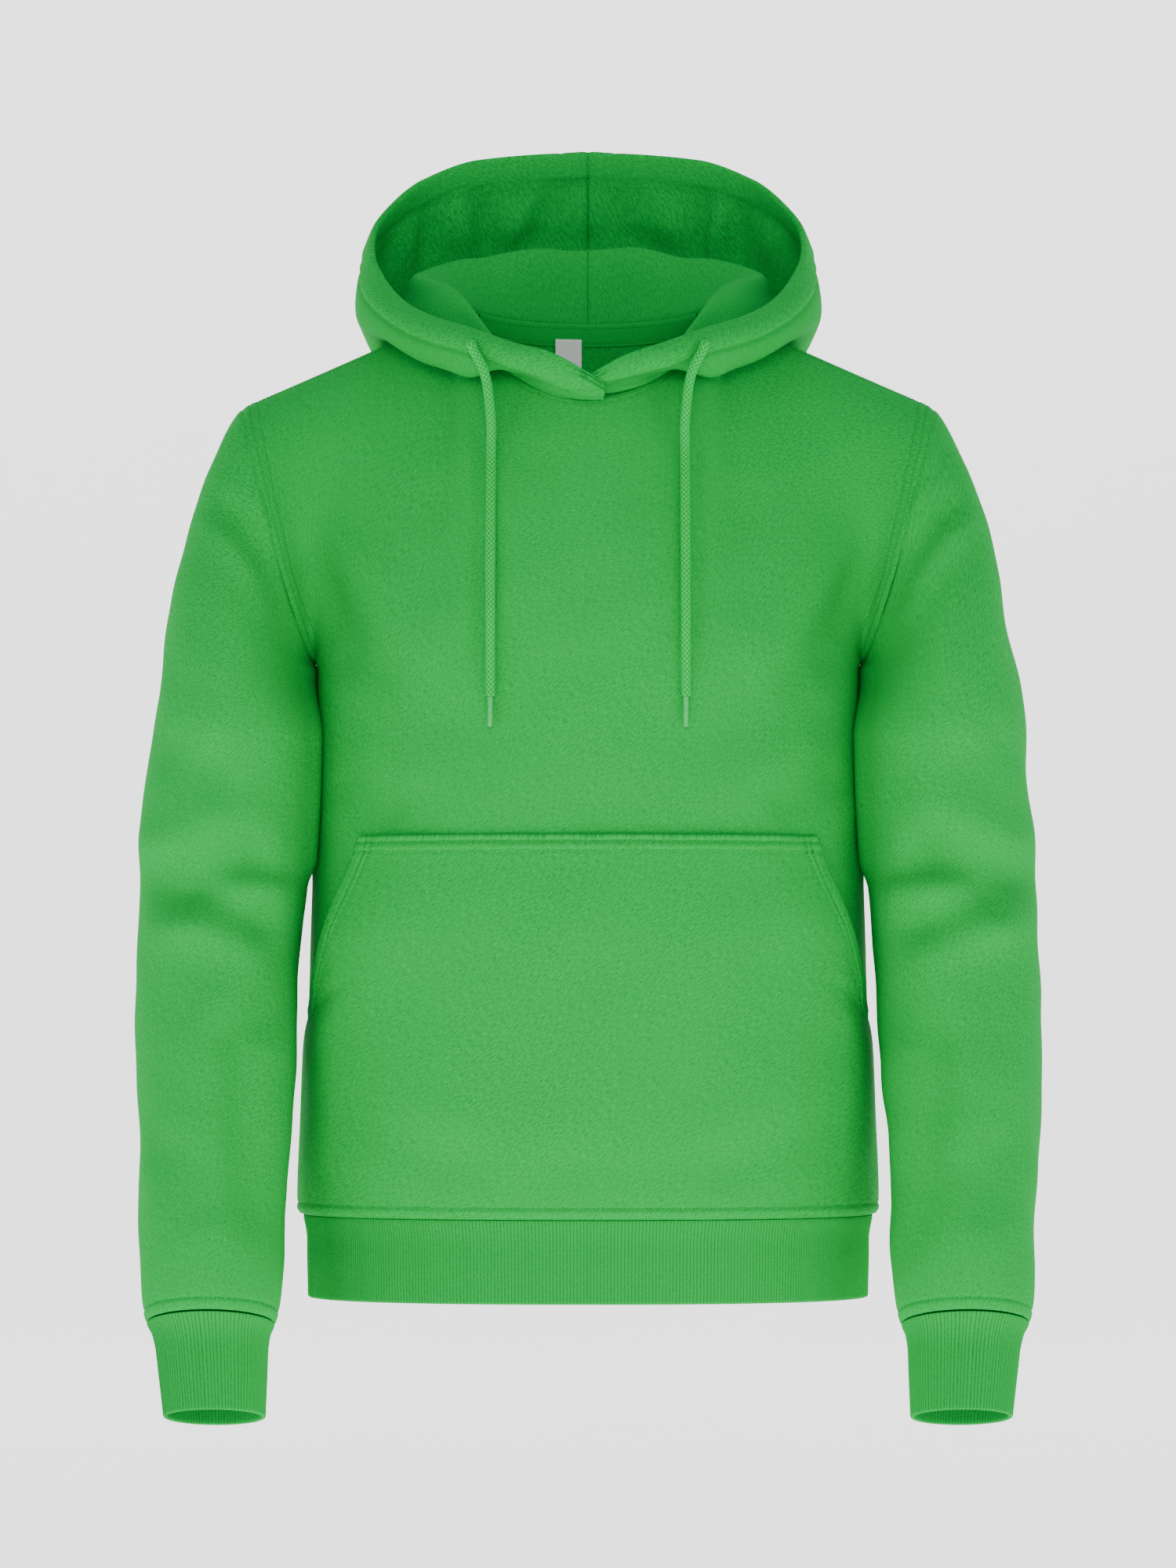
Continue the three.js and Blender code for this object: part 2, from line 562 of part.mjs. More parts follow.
// A ribbed band: an outer wall with a ridge and a groove for each rib, over a plain inside
function ribbedGeometry(outerPoint, innerPoint, ribs, innerColumns, rows) {
  const outer = [];
  const inner = [];
  for (let i = 0; i < rows; i += 1) {
    outer.push([]);
    inner.push([]);
    for (let j = 0; j < 2 * ribs; j += 1) outer[i].push(outerPoint(i, j / (2 * ribs), j % 2 ? 0 : RIB_RELIEF));
    for (let j = 0; j < innerColumns; j += 1) inner[i].push(innerPoint(i, j / innerColumns));
  }
  const positions = [...outer.flat(), ...inner.flat()].flatMap((p) => [p.x, p.y, p.z]);
  const triangles = [];
  const outerAt = (i, j) => i * 2 * ribs + (j % (2 * ribs));
  const innerAt = (i, j) => rows * 2 * ribs + i * innerColumns + (j % innerColumns);
  for (let i = 0; i < rows - 1; i += 1) {
    for (let j = 0; j < 2 * ribs; j += 1) {
      triangles.push(outerAt(i, j), outerAt(i + 1, j), outerAt(i + 1, j + 1));
      triangles.push(outerAt(i, j), outerAt(i + 1, j + 1), outerAt(i, j + 1));
    }
    for (let j = 0; j < innerColumns; j += 1) {
      triangles.push(innerAt(i, j), innerAt(i + 1, j + 1), innerAt(i + 1, j));
      triangles.push(innerAt(i, j), innerAt(i, j + 1), innerAt(i + 1, j + 1));
    }
  }
  // Each end face runs from the many outer points to the few inner ones
  for (const [i, out] of [[0, true], [rows - 1, false]]) {
    const face = (a, b, c) => (out ? triangles.push(a, b, c) : triangles.push(a, c, b));
    let j = 0;
    for (let k = 0; k < innerColumns; k += 1) {
      const until = Math.round(((k + 1) * 2 * ribs) / innerColumns);
      const turnAt = Math.round(((k + 0.5) * 2 * ribs) / innerColumns);
      for (; j < until; j += 1) {
        face(outerAt(i, j), outerAt(i, j + 1), innerAt(i, j < turnAt ? k : k + 1));
        if (j + 1 === turnAt) face(outerAt(i, j + 1), innerAt(i, k + 1), innerAt(i, k));
      }
    }
  }
  const geometry = new THREE.BufferGeometry();
  geometry.setAttribute("position", new THREE.Float32BufferAttribute(positions, 3));
  geometry.setIndex(triangles);
  geometry.computeVertexNormals();
  return geometry;
}

function cuffGeometry() {
  const innerColumns = 24;
  const grown = (ring, by) => ({ ...ring, across: ring.across + by, deep: ring.deep + by });
  const outer = (i, share, relief) => ringPoint(grown(CUFF_RINGS[i], relief), -360 * share);
  const inner = (i, share) => ringPoint(grown(CUFF_RINGS[i], -RIB_WALL), -360 * share);
  return ribbedGeometry(outer, inner, CUFF_RIBS, innerColumns, CUFF_RINGS.length);
}

function hemGeometry() {
  const innerColumns = 56;
  const point = (section, share, by) => {
    const grown = {
      z: section.z,
      halfWidth: section.halfWidth + by,
      front: section.front + by,
      back: section.back + by,
    };
    const turn = 4 * share; // 0 at the front centre, 1 at the wearer's left side, 2 at the back
    if (turn <= 1) return sectionPoint(grown, turn, -1);
    if (turn < 3) return sectionPoint(grown, 2 - turn, 1);
    return sectionPoint(grown, turn - 4, -1);
  };
  return ribbedGeometry(
    (i, share, relief) => point(HEM_SECTIONS[i], share, relief),
    (i, share) => point(HEM_SECTIONS[i], share, -RIB_WALL),
    HEM_RIBS,
    innerColumns,
    HEM_SECTIONS.length,
  );
}

// The share across the front panel at which its width reaches x
function turnAtX(x, height) {
  let low = 0;
  let high = 1;
  for (let i = 0; i < 40; i += 1) {
    const middle = (low + high) / 2;
    if (panelPoint(FRONT_RISE, middle, height).x < x) low = middle;
    else high = middle;
  }
  return (low + high) / 2;
}

// The pocket: its points are the front panel's, moved out. It is sewn down at its top, bottom and lower
// sides, and stands open along the two slanted hand openings.
function pocketGeometry() {
  const outer = [];
  const inner = [];
  for (let i = 0; i <= POCKET_ROWS; i += 1) {
    const up = i / POCKET_ROWS;
    const z = THREE.MathUtils.lerp(POCKET_BOTTOM_Z, POCKET_TOP_Z, up);
    const level = (z - HEM_SEAM_Z) / (ARMPIT_Z - HEM_SEAM_Z);
    const slant = THREE.MathUtils.clamp((z - POCKET_SLANT_END_Z) / (POCKET_TOP_Z - POCKET_SLANT_END_Z), 0, 1);
    const edge = Math.min(POCKET_SIDE_TURN, turnAtX(POCKET_TOP_HALF + POCKET_SLOPE * (POCKET_TOP_Z - z), level));
    const open = ease(0, 0.25, slant) * ease(0, 0.25, 1 - slant);
    outer.push([]);
    inner.push([]);
    for (let j = -POCKET_HALF_CELLS; j <= POCKET_HALF_CELLS; j += 1) {
      const across = j / POCKET_HALF_CELLS;
      const turn = edge * Math.sign(across) * Math.abs(across) ** 0.9;
      const fromSide = 1 - Math.abs(across);
      const free = Math.max(ease(0, 0.3, fromSide), open);
      const nearOpening = (1 - ease(0.08, 0.14, fromSide)) * ease(0, 0.05, slant);
      const nearTop = 1 - ease(POCKET_HEM_WIDTH, POCKET_HEM_WIDTH + 6, POCKET_TOP_Z - z);
      const extra = POCKET_HEM_EXTRA * Math.max(nearOpening, nearTop);
      const point = panelPoint(FRONT_RISE, turn, level);
      const ahead = panelPoint(FRONT_RISE, turn + 0.004, level).sub(panelPoint(FRONT_RISE, turn - 0.004, level));
      const above = panelPoint(FRONT_RISE, turn, level + 0.004).sub(point);
      const out = ahead.cross(above).normalize();
      const raised = free * ease(0, 0.3, up) * ease(0, 0.28, 1 - up) * Math.min(1, 2.2 * out.y ** 2);
      const height = THREE.MathUtils.lerp(POCKET_LIFT.openings, POCKET_LIFT.middle, ease(0.15, 0.5, fromSide));
      const lift = POCKET_SEAT + height * raised;
      inner[i].push(point.clone().addScaledVector(out, lift));
      outer[i].push(point.clone().addScaledVector(out, lift + FLEECE_WALL + extra));
    }
  }
  return wallGeometry(outer, inner);
}

// Points and directions over the wearer's left half of both panels, which the hood lies on
function panelSamples() {
  const samples = [];
  for (const rise of [FRONT_RISE, BACK_RISE]) {
    for (let height = 1.2; height < 2.001; height += 0.02) {
      for (let turn = -0.16; turn < 0.98; turn += 0.02) {
        const point = panelPoint(rise, turn, height);
        const ahead = panelPoint(rise, turn + 0.004, height).sub(panelPoint(rise, turn - 0.004, height));
        const above = point.clone().sub(panelPoint(rise, turn, height - 0.004));
        const out = ahead.cross(above).multiplyScalar(-rise.face).normalize();
        samples.push({ point, out });
      }
    }
  }
  return samples;
}
const samples = panelSamples();

// Lifts a point off the panels until it is clear of them
function clearOfPanels(point, clearance) {
  let nearest = samples[0];
  let least = Infinity;
  for (const sample of samples) {
    const distance = sample.point.distanceToSquared(point);
    if (distance < least) {
      least = distance;
      nearest = sample;
    }
  }
  if (least > 900) return point;
  const off = point.clone().sub(nearest.point).dot(nearest.out);
  if (off < clearance) point.addScaledVector(nearest.out, clearance - off);
  return point;
}

// The neckline of the panels, column by column of the hood, and the way the cloth faces there
function neckSeam(j) {
  const top = heights.length - 1;
  const i = Math.min(j, 2 * NECK_CELLS - j);
  if (j < 0) {
    const share = (HOOD_OVERLAP_ANGLE * NECK_CELLS) / 90;
    const point = frontGrid[top][HALF_CELLS].clone().lerp(frontGrid[top][HALF_CELLS - 1], share);
    return { point, out: frontNormals[top][HALF_CELLS] };
  }
  if (j <= NECK_CELLS) return { point: frontGrid[top][HALF_CELLS + j], out: frontNormals[top][HALF_CELLS + j] };
  return { point: backGrid[top][HALF_CELLS - i], out: backNormals[top][HALF_CELLS - i] };
}

// One section of the hood, as points evenly spaced from the neck seam to the rim's edge
function hoodSection(neckAngle) {
  const neck = neckPoint(Math.abs(neckAngle));
  const angle =
    neckAngle < 0
      ? neckAngle
      : THREE.MathUtils.radToDeg(Math.atan2(neck.x, NECK_CENTRE_Y - neck.y));
  const row = readTable(HOOD_SECTIONS, "angle", angle);
  const neckRadius = Math.hypot(neck.x, neck.y - NECK_CENTRE_Y);
  const toCrest = Math.hypot(row.crestR - neckRadius, row.crestZ - neck.z);
  const stand = Math.min(HOOD_STAND, 0.35 * toCrest);
  const curve = new THREE.CatmullRomCurve3(
    [
      new THREE.Vector3(neckRadius, neck.z, 0),
      new THREE.Vector3(neckRadius + 0.1 * stand, neck.z + stand, 0),
      new THREE.Vector3(row.crestR, row.crestZ, 0),
      new THREE.Vector3(row.fallR, row.fallZ, 0),
      new THREE.Vector3(row.bottomR, row.bottomZ, 0),
      new THREE.Vector3(row.bulgeR, row.bulgeZ, 0),
      new THREE.Vector3(row.upperR, row.upperZ, 0),
      new THREE.Vector3(row.rimR, row.rimZ, 0),
    ],
    false,
    "centripetal",
  );
  curve.arcLengthDivisions = 400;
  const length = curve.getLength();
  const tunnel = Math.min(TUNNEL_WIDTH, 0.8 * length);
  const tunnelAt = curve.getUtoTmapping(1 - tunnel / length);
  // The same rows reach the crest and the bottom of the bag in every section
  const parts = [0, 1];
  for (let part = 1; part < 6; part += 1) {
    for (let k = 1; k <= HOOD_ROWS_A_PART; k += 1) parts.push(part + k / HOOD_ROWS_A_PART);
  }
  const squeeze = Math.min(1, (0.985 * tunnelAt) / (6 / 7));
  const places = parts.map((part) => (part / 7) * squeeze);
  const lastPlace = places[places.length - 1];
  places.push(THREE.MathUtils.lerp(lastPlace, tunnelAt, 0.5), tunnelAt);
  for (const t of TUNNEL_ROWS) places.push(curve.getUtoTmapping(1 - (tunnel * (1 - t)) / length));
  const lengths = curve.getLengths(400);
  const shares = places.map((t) => {
    const i = Math.min(Math.floor(t * 400), 399);
    return THREE.MathUtils.lerp(lengths[i], lengths[i + 1], t * 400 - i) / length;
  });
  const full = ease(8, 34, angle); // the crossed front ends are thin, with no cord in them
  const points = places.map((place) => {
    const p = curve.getPoint(Math.min(place, 1));
    return new THREE.Vector3(
      p.x * Math.sin(radians(angle)),
      NECK_CENTRE_Y - p.x * Math.cos(radians(angle)),
      p.y,
    );
  });
  const halves = shares.map((share) => {
    const intoTunnel = 1 - (length * (1 - share)) / tunnel;
    if (intoTunnel <= 0) return HOOD_WALL / 2;
    const puff = Math.sqrt(Math.max(0, 1 - (2 * Math.min(intoTunnel, 1) - 1) ** 2));
    const rounded = share > 0.9999 ? 0.55 : 1;
    return (HOOD_WALL / 2 + TUNNEL_EXTRA * full * puff) * rounded;
  });
  return { angle, points, halves, along: shares.map((share) => share * length) };
}

// One half of the hood. over is 1 for the half that crosses in front, -1 for the one behind it.
function hoodGeometry(over) {
  const sections = [];
  const seam = [];
  for (let j = -HOOD_OVERLAP_CELLS; j <= HOOD_CELLS; j += 1) {
    const angle = j < 0 ? (HOOD_OVERLAP_ANGLE * j) / HOOD_OVERLAP_CELLS : (180 * j) / HOOD_CELLS;
    sections.push(hoodSection(angle));
    seam.push(neckSeam(j));
  }
  const last = sections.length - 1;
  const shift = over > 0 ? HOOD_OVER_SHIFT : HOOD_UNDER_SHIFT;
  const layer = sections.map(({ angle }) => shift * (1 - ease(10, 30, angle)));
  const plain = sections[0].points.map((_, i) => sections.map(({ points }) => points[i].clone()));
  const directions = gridNormals(plain, false);
  const line = seam.map(({ point }) => point);
  const middle = plain.map((row, i) =>
    row.map((p, j) => {
      const { angle, halves, along } = sections[j];
      if (i === 0) {
        // The base stands on the panel's own edge, square to it
        const into = seam[j].out.clone().cross(edgeTangent(line, j)).normalize();
        const depth = layer[j] - HOOD_SEAT * (1 - layer[j] / shift);
        return p.copy(seam[j].point).addScaledVector(into, SEAM_GAP / 2).addScaledVector(seam[j].out, depth);
      }
      p.addScaledVector(directions[i][j], layer[j]);
      if (over < 0) p.z += HOOD_FRONT_RISE * (1 - ease(10, 30, angle)) * (1 - ease(4, 16, along[i]));
      if (angle > 110) return p;
      const near = -HOOD_SEAT + layer[j];
      const far = halves[i] + HOOD_REST_GAP + (over > 0 ? 2 * layer[j] : 0);
      return clearOfPanels(p, THREE.MathUtils.lerp(near, far, ease(0.3, 5, along[i])));
    }),
  );
  const normals = gridNormals(middle, false);
  seam.forEach(({ out }, j) => normals[0][j].copy(out));
  middle.forEach((row, i) => {
    normals[i][last].x = 0; // square to the centre seam, so that the two halves meet
    normals[i][last].normalize();
    row[last].x = SEAM_GAP / 2;
  });
  const thick = (sign) =>
    middle.map((row, i) =>
      row.map((p, j) => p.clone().addScaledVector(normals[i][j], sign * sections[j].halves[i])),
    );
  return wallGeometry(thick(1), thick(-1));
}

// Neck tape and label lie on the inside of the back panel
function insideBack(x, z) {
  let low = 1;
  let high = 2;
  const turn = (height) => {
    let a = -0.5;
    let b = 0.5;
    for (let i = 0; i < 30; i += 1) {
      const middle = (a + b) / 2;
      if (panelPoint(BACK_RISE, middle, height).x < x) a = middle;
      else b = middle;
    }
    return (a + b) / 2;
  };
  for (let i = 0; i < 30; i += 1) {
    const middle = (low + high) / 2;
    if (panelPoint(BACK_RISE, turn(middle), middle).z < z) low = middle;
    else high = middle;
  }
  return panelPoint(BACK_RISE, turn(low), low);
}

// The tape follows the back panel's own points, just inside its top edge
function tapeGeometry() {
  const top = heights.length - 1;
  const outer = [];
  const inner = [];
  for (const share of [TAPE_LOW_SHARE, TAPE_HIGH_SHARE]) {
    outer.push([]);
    inner.push([]);
    for (let k = -TAPE_HALF_CELLS; k <= TAPE_HALF_CELLS; k += 1) {
      const j = HALF_CELLS + k;
      const point = backGrid[top - 1][j].clone().lerp(backGrid[top][j], share);
      const out = backNormals[top - 1][j].clone().lerp(backNormals[top][j], share).normalize();
      outer[outer.length - 1].push(point.clone().addScaledVector(out, -FLEECE_WALL - SEAM_GAP));
      inner[inner.length - 1].push(point.clone().addScaledVector(out, -FLEECE_WALL - SEAM_GAP - TAPE_WALL));
    }
  }
  return wallGeometry(outer, inner);
}

function labelGeometry() {
  const columns = 2;
  const rows = 4;
  const outer = [];
  const inner = [];
  const setIn = FLEECE_WALL + SEAM_GAP + TAPE_WALL + LABEL_CLEARANCE;
  for (let i = 0; i <= rows; i += 1) {
    outer.push([]);
    inner.push([]);
    for (let j = 0; j <= columns; j += 1) {
      const x = LABEL_CENTRE_X + LABEL_WIDTH * (0.5 - j / columns);
      const z = BACK_NECK.z - 9 - LABEL_LENGTH * (1 - i / rows);
      const onBack = insideBack(x, z);
      outer[i].push(new THREE.Vector3(x, onBack.y - setIn, z));
      inner[i].push(new THREE.Vector3(x, onBack.y - setIn - LABEL_WALL, z));
    }
  }
  return wallGeometry(outer, inner);
}

// How far forward the front panel stands at a place on the chest
function chestY(x, z) {
  let low = 1;
  let high = 2;
  if (z <= ARMPIT_Z) {
    const height = (z - HEM_SEAM_Z) / (ARMPIT_Z - HEM_SEAM_Z);
    return panelPoint(FRONT_RISE, turnAtX(x, height), height).y;
  }
  for (let i = 0; i < 30; i += 1) {
    const middle = (low + high) / 2;
    if (panelPoint(FRONT_RISE, turnAtX(x, middle), middle).z < z) low = middle;
    else high = middle;
  }
  return panelPoint(FRONT_RISE, turnAtX(x, low), low).y;
}

function cordPoints() {
  const points = CORD_ROUTE.map(vec);
  const off = CORD_DIAMETER / 2 + CORD_CLEARANCE;
  for (let i = 0; i <= CORD_FALL.steps; i += 1) {
    const z = THREE.MathUtils.lerp(CORD_FALL.fromZ, CORD_FALL.toZ, i / CORD_FALL.steps);
    const y = Math.min(chestY(CORD_FALL.x, z) - off, CORD_FALL.y);
    points.push(new THREE.Vector3(CORD_FALL.x, y, z));
  }
  return points;
}

function roundBar(curve, diameter, steps) {
  const section = new THREE.Shape();
  for (let k = 0; k < CORD_SIDES; k += 1) {
    const angle = (2 * Math.PI * k) / CORD_SIDES;
    const at = [(diameter / 2) * Math.cos(angle), (diameter / 2) * Math.sin(angle)];
    if (k === 0) section.moveTo(...at);
    else section.lineTo(...at);
  }
  section.closePath();
  return new THREE.ExtrudeGeometry(section, { steps, extrudePath: curve, bevelEnabled: false });
}

function cordGeometry() {
  return roundBar(new THREE.CatmullRomCurve3(cordPoints(), false, "centripetal"), CORD_DIAMETER, 26);
}

function agletGeometry() {
  const points = cordPoints();
  const end = points[points.length - 1];
  const way = end.clone().sub(points[points.length - 2]).normalize();
  const start = end.clone().addScaledVector(way, SEAM_GAP);
  return roundBar(new THREE.LineCurve3(start, start.clone().addScaledVector(way, AGLET_LENGTH)), AGLET_DIAMETER, 1);
}

const hoodie = new THREE.Group();
hoodie.add(bodyPanel("body_front", frontGrid, frontNormals));
hoodie.add(bodyPanel("body_back", backGrid, backNormals));

const sleeve = sleeveGeometry();
const cuff = cuffGeometry();
const cord = cordGeometry();
const aglet = agletGeometry();
for (const [label, make] of [
  ["left", (g) => g],
  ["right", mirroredGeometryOf],
]) {
  hoodie.add(named(`sleeve_${label}`, make(sleeve), fleece));
  hoodie.add(named(`cuff_${label}`, make(cuff), rib));
  hoodie.add(named(`drawcord_${label}`, make(cord), braid));
  hoodie.add(named(`aglet_${label}`, make(aglet), plastic));
}
hoodie.add(named("hood_left", hoodGeometry(-1), fleece));
hoodie.add(named("hood_right", mirroredGeometry(hoodGeometry(1)), fleece));
hoodie.add(named("pocket", pocketGeometry(), fleece));
hoodie.add(named("hem_band", hemGeometry(), rib));
hoodie.add(named("neck_tape", tapeGeometry(), fleece));
hoodie.add(named("neck_label", labelGeometry(), satin));

function mirroredGeometryOf(geometry) {
  if (geometry.index) return mirroredGeometry(geometry);
  const made = geometry.clone().scale(-1, 1, 1);
  const position = made.getAttribute("position");
  for (let i = 0; i < position.count; i += 3) {
    const swap = new THREE.Vector3().fromBufferAttribute(position, i + 1);
    position.setXYZ(i + 1, position.getX(i + 2), position.getY(i + 2), position.getZ(i + 2));
    position.setXYZ(i + 2, swap.x, swap.y, swap.z);
  }
  return made;
}

export default hoodie;
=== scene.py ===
# The looks of a pullover hoodie: each cloth piece is a thin shell of cloth in the place of its solid.
# Lengths here are in millimetres until a mesh is made. +Z is up, the front faces -Y, +X is the wearer's left.
import math

import bmesh
import bpy
import numpy as np
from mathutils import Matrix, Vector, kdtree


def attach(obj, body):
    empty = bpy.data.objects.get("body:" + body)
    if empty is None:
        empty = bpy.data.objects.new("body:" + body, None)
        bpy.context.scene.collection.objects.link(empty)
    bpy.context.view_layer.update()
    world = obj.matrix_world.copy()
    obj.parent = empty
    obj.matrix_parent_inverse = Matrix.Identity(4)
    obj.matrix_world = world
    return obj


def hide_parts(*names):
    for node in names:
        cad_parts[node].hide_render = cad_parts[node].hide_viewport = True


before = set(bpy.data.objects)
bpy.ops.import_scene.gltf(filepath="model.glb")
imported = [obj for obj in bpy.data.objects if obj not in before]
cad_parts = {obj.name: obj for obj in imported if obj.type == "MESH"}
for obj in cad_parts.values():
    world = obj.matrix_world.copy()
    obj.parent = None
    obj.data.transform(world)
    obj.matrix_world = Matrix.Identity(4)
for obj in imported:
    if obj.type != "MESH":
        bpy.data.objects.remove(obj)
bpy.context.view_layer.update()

# Sizes that the solids are made from
ARMPIT_Z = -250.0
HEM_SEAM_Z = -624.0
NECK_POINT = np.array([84.0, 8.0, 2.0])
SHOULDER_TIP = np.array([239.0, 5.0, -67.5])
FRONT_NECK = np.array([0.0, -93.0, -72.0])
BACK_NECK = np.array([0.0, 82.0, -1.0])
NECK_CENTRE_Y = -5.0
NECK_DIP = 1.2
NECK_SHARE = 0.38
BODY_SQUARENESS = 2.35
FLEECE_WALL = 2.0
HOOD_WALL = 3.0
RIB_WALL = 2.6

BODY_SECTIONS = """
    z     halfWidth front back
    -624  196.0     125   122
    -606  196.6     127   124
    -567  195.2     128   125
    -524  193.7     128   124
    -481  191.8     129   122
    -437  190.8     130   120
    -394  189.5     131   120
    -310  187.2     133   124
    -250  186.0     133   128
"""

SLEEVE_RINGS = """
    z     x      y       across deep  lean
    -300  240.6  -38     57.1   76    0
    -350  243.9  -39     58.9   69    3
    -378  245.8  -40.5   58.5   67.5  6
    -396  246.9  -42     57.9   62    8
    -414  248.2  -44     57.3   64.8  10
    -438  250.2  -47     56.2   62    12
    -481  251.6  -54     55.3   60    14
    -524  251.7  -63     53.8   58    15
    -567  252.0  -73     51.5   55.5  15
    -609  251.7  -84     49.8   53    15.5
    -649  251.3  -95     48.0   50.5  16
    -670  250.9  -100.6  47.0   48    16.5
    -684  250.8  -104.2  45.0   44.5  16.5
    -693  251.0  -106.6  42.6   40    16.5
"""

CUFF_RINGS = """
    z       x      y       across deep  lean
    -693.6  251.0  -106.8  40.9   37    16.5
    -711    249.7  -111.6  36.9   28.5  17
    -753    247.2  -121.6  33.8   25    17
"""

HEM_SECTIONS = """
    z       halfWidth front  back
    -624.3  195.2     124    121
    -641    192.2     121    118
    -679    191.8     120.5  117.5
"""

HOOD_SECTIONS = """
    angle crestR crestZ fallR fallZ bottomR bottomZ bulgeR bulgeZ upperR upperZ rimR rimZ
    -6    88.3   -69    89.2  -67.9 90.1    -67     90.8   -66.3  91.1   -65.6  91.1  -64.6
    0     89.5   -68.6  91.5  -66.9 93      -65.2   94     -63.5  94.4   -61.6  94    -58.8
    15    89.6   -64.2  94    -61.5 98      -60     99.8   -56    100    -50    98.5  -45
    30    89.6   -54    96    -52.5 104     -54     110    -51    110    -43    105   -36.3
    45    94     -27    100   -36   109     -54     120    -46    119.5  -33    112   -25.3
    60    92     -6.5   101   -22   114     -49     129    -39    128    -25    119.5 -15.5
    75    97     11     108   -4    125     -34     142    -24    140    -10    128.5 -2
    90    108    19.5   119   4     137     -17     154    -9     152.5  9      140.5 19
    105   124    28     132   11    150     -21     165.5  -5     166    24     156   48
    120   124    38     133   -8    154     -44     176    -14    178    45     167   79
    135   119    48     131   -26   154     -66     180    -24    181    60     168   108
    150   112    53.5   129   -40   152     -86     179    -36    176    68     158.5 125.5
    165   107    56     128   -48   150     -98     176    -46    170    71     149   130.5
    180   105    57     127   -52   148     -102    174    -50    167    72     145   133
"""

FRONT_RISE = {
    "face": -1,
    "chestLift": (0, -2, 62),
    "overShoulder": (0, -66, -19),
    "atNeck": (0, -24, -56),
    "armholeLow": (6, -92, 8),
    "armholeHigh": (-1, -88, -8),
}
BACK_RISE = {
    "face": 1,
    "chestLift": (0, 3, 62),
    "overShoulder": (0, 60, -7),
    "atNeck": (0, 26, -54),
    "armholeLow": (6, 96, 10),
    "armholeHigh": (0, 82, -8),
}


def table(text):
    lines = [line.split() for line in text.strip().splitlines()]
    return {name: np.array([float(row[i]) for row in lines[1:]]) for i, name in enumerate(lines[0])}


BODY_SECTIONS = table(BODY_SECTIONS)
SLEEVE_RINGS = table(SLEEVE_RINGS)
CUFF_RINGS = table(CUFF_RINGS)
HEM_SECTIONS = table(HEM_SECTIONS)
HOOD_SECTIONS = table(HOOD_SECTIONS)


def ease(a, b, at):
    t = np.clip((np.asarray(at, float) - a) / (b - a), 0, 1)
    return t * t * (3 - 2 * t)


def bump(at, centre, width):
    return np.exp(-(((at - centre) / width) ** 2))


def read_table(rows, key, at):
    """Every column at the given values of its key, along smooth curves that never overshoot."""
    x = rows[key]
    at = np.asarray(at, float)
    up = 1 if x[-1] > x[0] else -1
    i = np.clip(np.searchsorted(up * x, up * at, side="right") - 1, 0, len(x) - 2)
    step = x[i + 1] - x[i]
    t = np.clip((at - x[i]) / step, 0, 1)
    found = {}
    for name, y in rows.items():
        slope = np.diff(y) / np.diff(x)
        tangent = np.empty(len(x))
        tangent[0], tangent[-1] = slope[0], slope[-1]
        product = slope[:-1] * slope[1:]
        total = np.where(slope[:-1] + slope[1:] == 0, 1, slope[:-1] + slope[1:])
        tangent[1:-1] = np.where(product > 0, 2 * product / total, 0)
        found[name] = (
            (2 * t**3 - 3 * t**2 + 1) * y[i]
            + (t**3 - 2 * t**2 + t) * step * tangent[i]
            + (3 * t**2 - 2 * t**3) * y[i + 1]
            + (t**3 - t**2) * step * tangent[i + 1]
        )
    return found


def bezier(a, b, c, d, t):
    t = np.asarray(t)[..., None]
    return a * (1 - t) ** 3 + b * 3 * t * (1 - t) ** 2 + c * 3 * t * t * (1 - t) + d * t**3


def unit(v):
    return v / np.maximum(np.linalg.norm(v, axis=-1, keepdims=True), 1e-9)


def section_point(section, turn, face):
    depth = section["front"] if face < 0 else section["back"]
    angle = np.radians(90 * turn)
    width = section["halfWidth"]
    polar = np.arctan2(width * np.sin(angle), depth * np.cos(angle))
    n = BODY_SQUARENESS
    radius = (np.abs(np.sin(polar) / width) ** n + np.abs(np.cos(polar) / depth) ** n) ** (-1 / n)
    z = np.broadcast_to(section["z"], radius.shape)
    return np.stack([radius * np.sin(polar), face * radius * np.cos(polar), z], -1)


def neck_point(angle):
    angle = np.asarray(angle, float)
    cosine = np.cos(np.radians(angle))
    share = np.abs(cosine)
    front = cosine > 0
    end_y = np.where(front, FRONT_NECK[1], BACK_NECK[1])
    end_z = np.where(front, FRONT_NECK[2], BACK_NECK[2])
    return np.stack(
        [
            NECK_POINT[0] * np.sin(np.radians(angle)),
            NECK_POINT[1] + (end_y - NECK_POINT[1]) * share,
            NECK_POINT[2] + (end_z - NECK_POINT[2]) * share**NECK_DIP,
        ],
        -1,
    )


def top_point(turn, face):
    share = np.abs(turn)
    angle = np.minimum(90 * share / NECK_SHARE, 90)
    neck = neck_point(angle if face < 0 else 180 - angle)
    along = np.clip((share - NECK_SHARE) / (1 - NECK_SHARE), 0, 1)[..., None]
    shoulder = NECK_POINT + (SHOULDER_TIP - NECK_POINT) * along
    point = np.where((share <= NECK_SHARE)[..., None], neck, shoulder)
    point[..., 0] *= np.where(turn < 0, -1, 1)
    return point


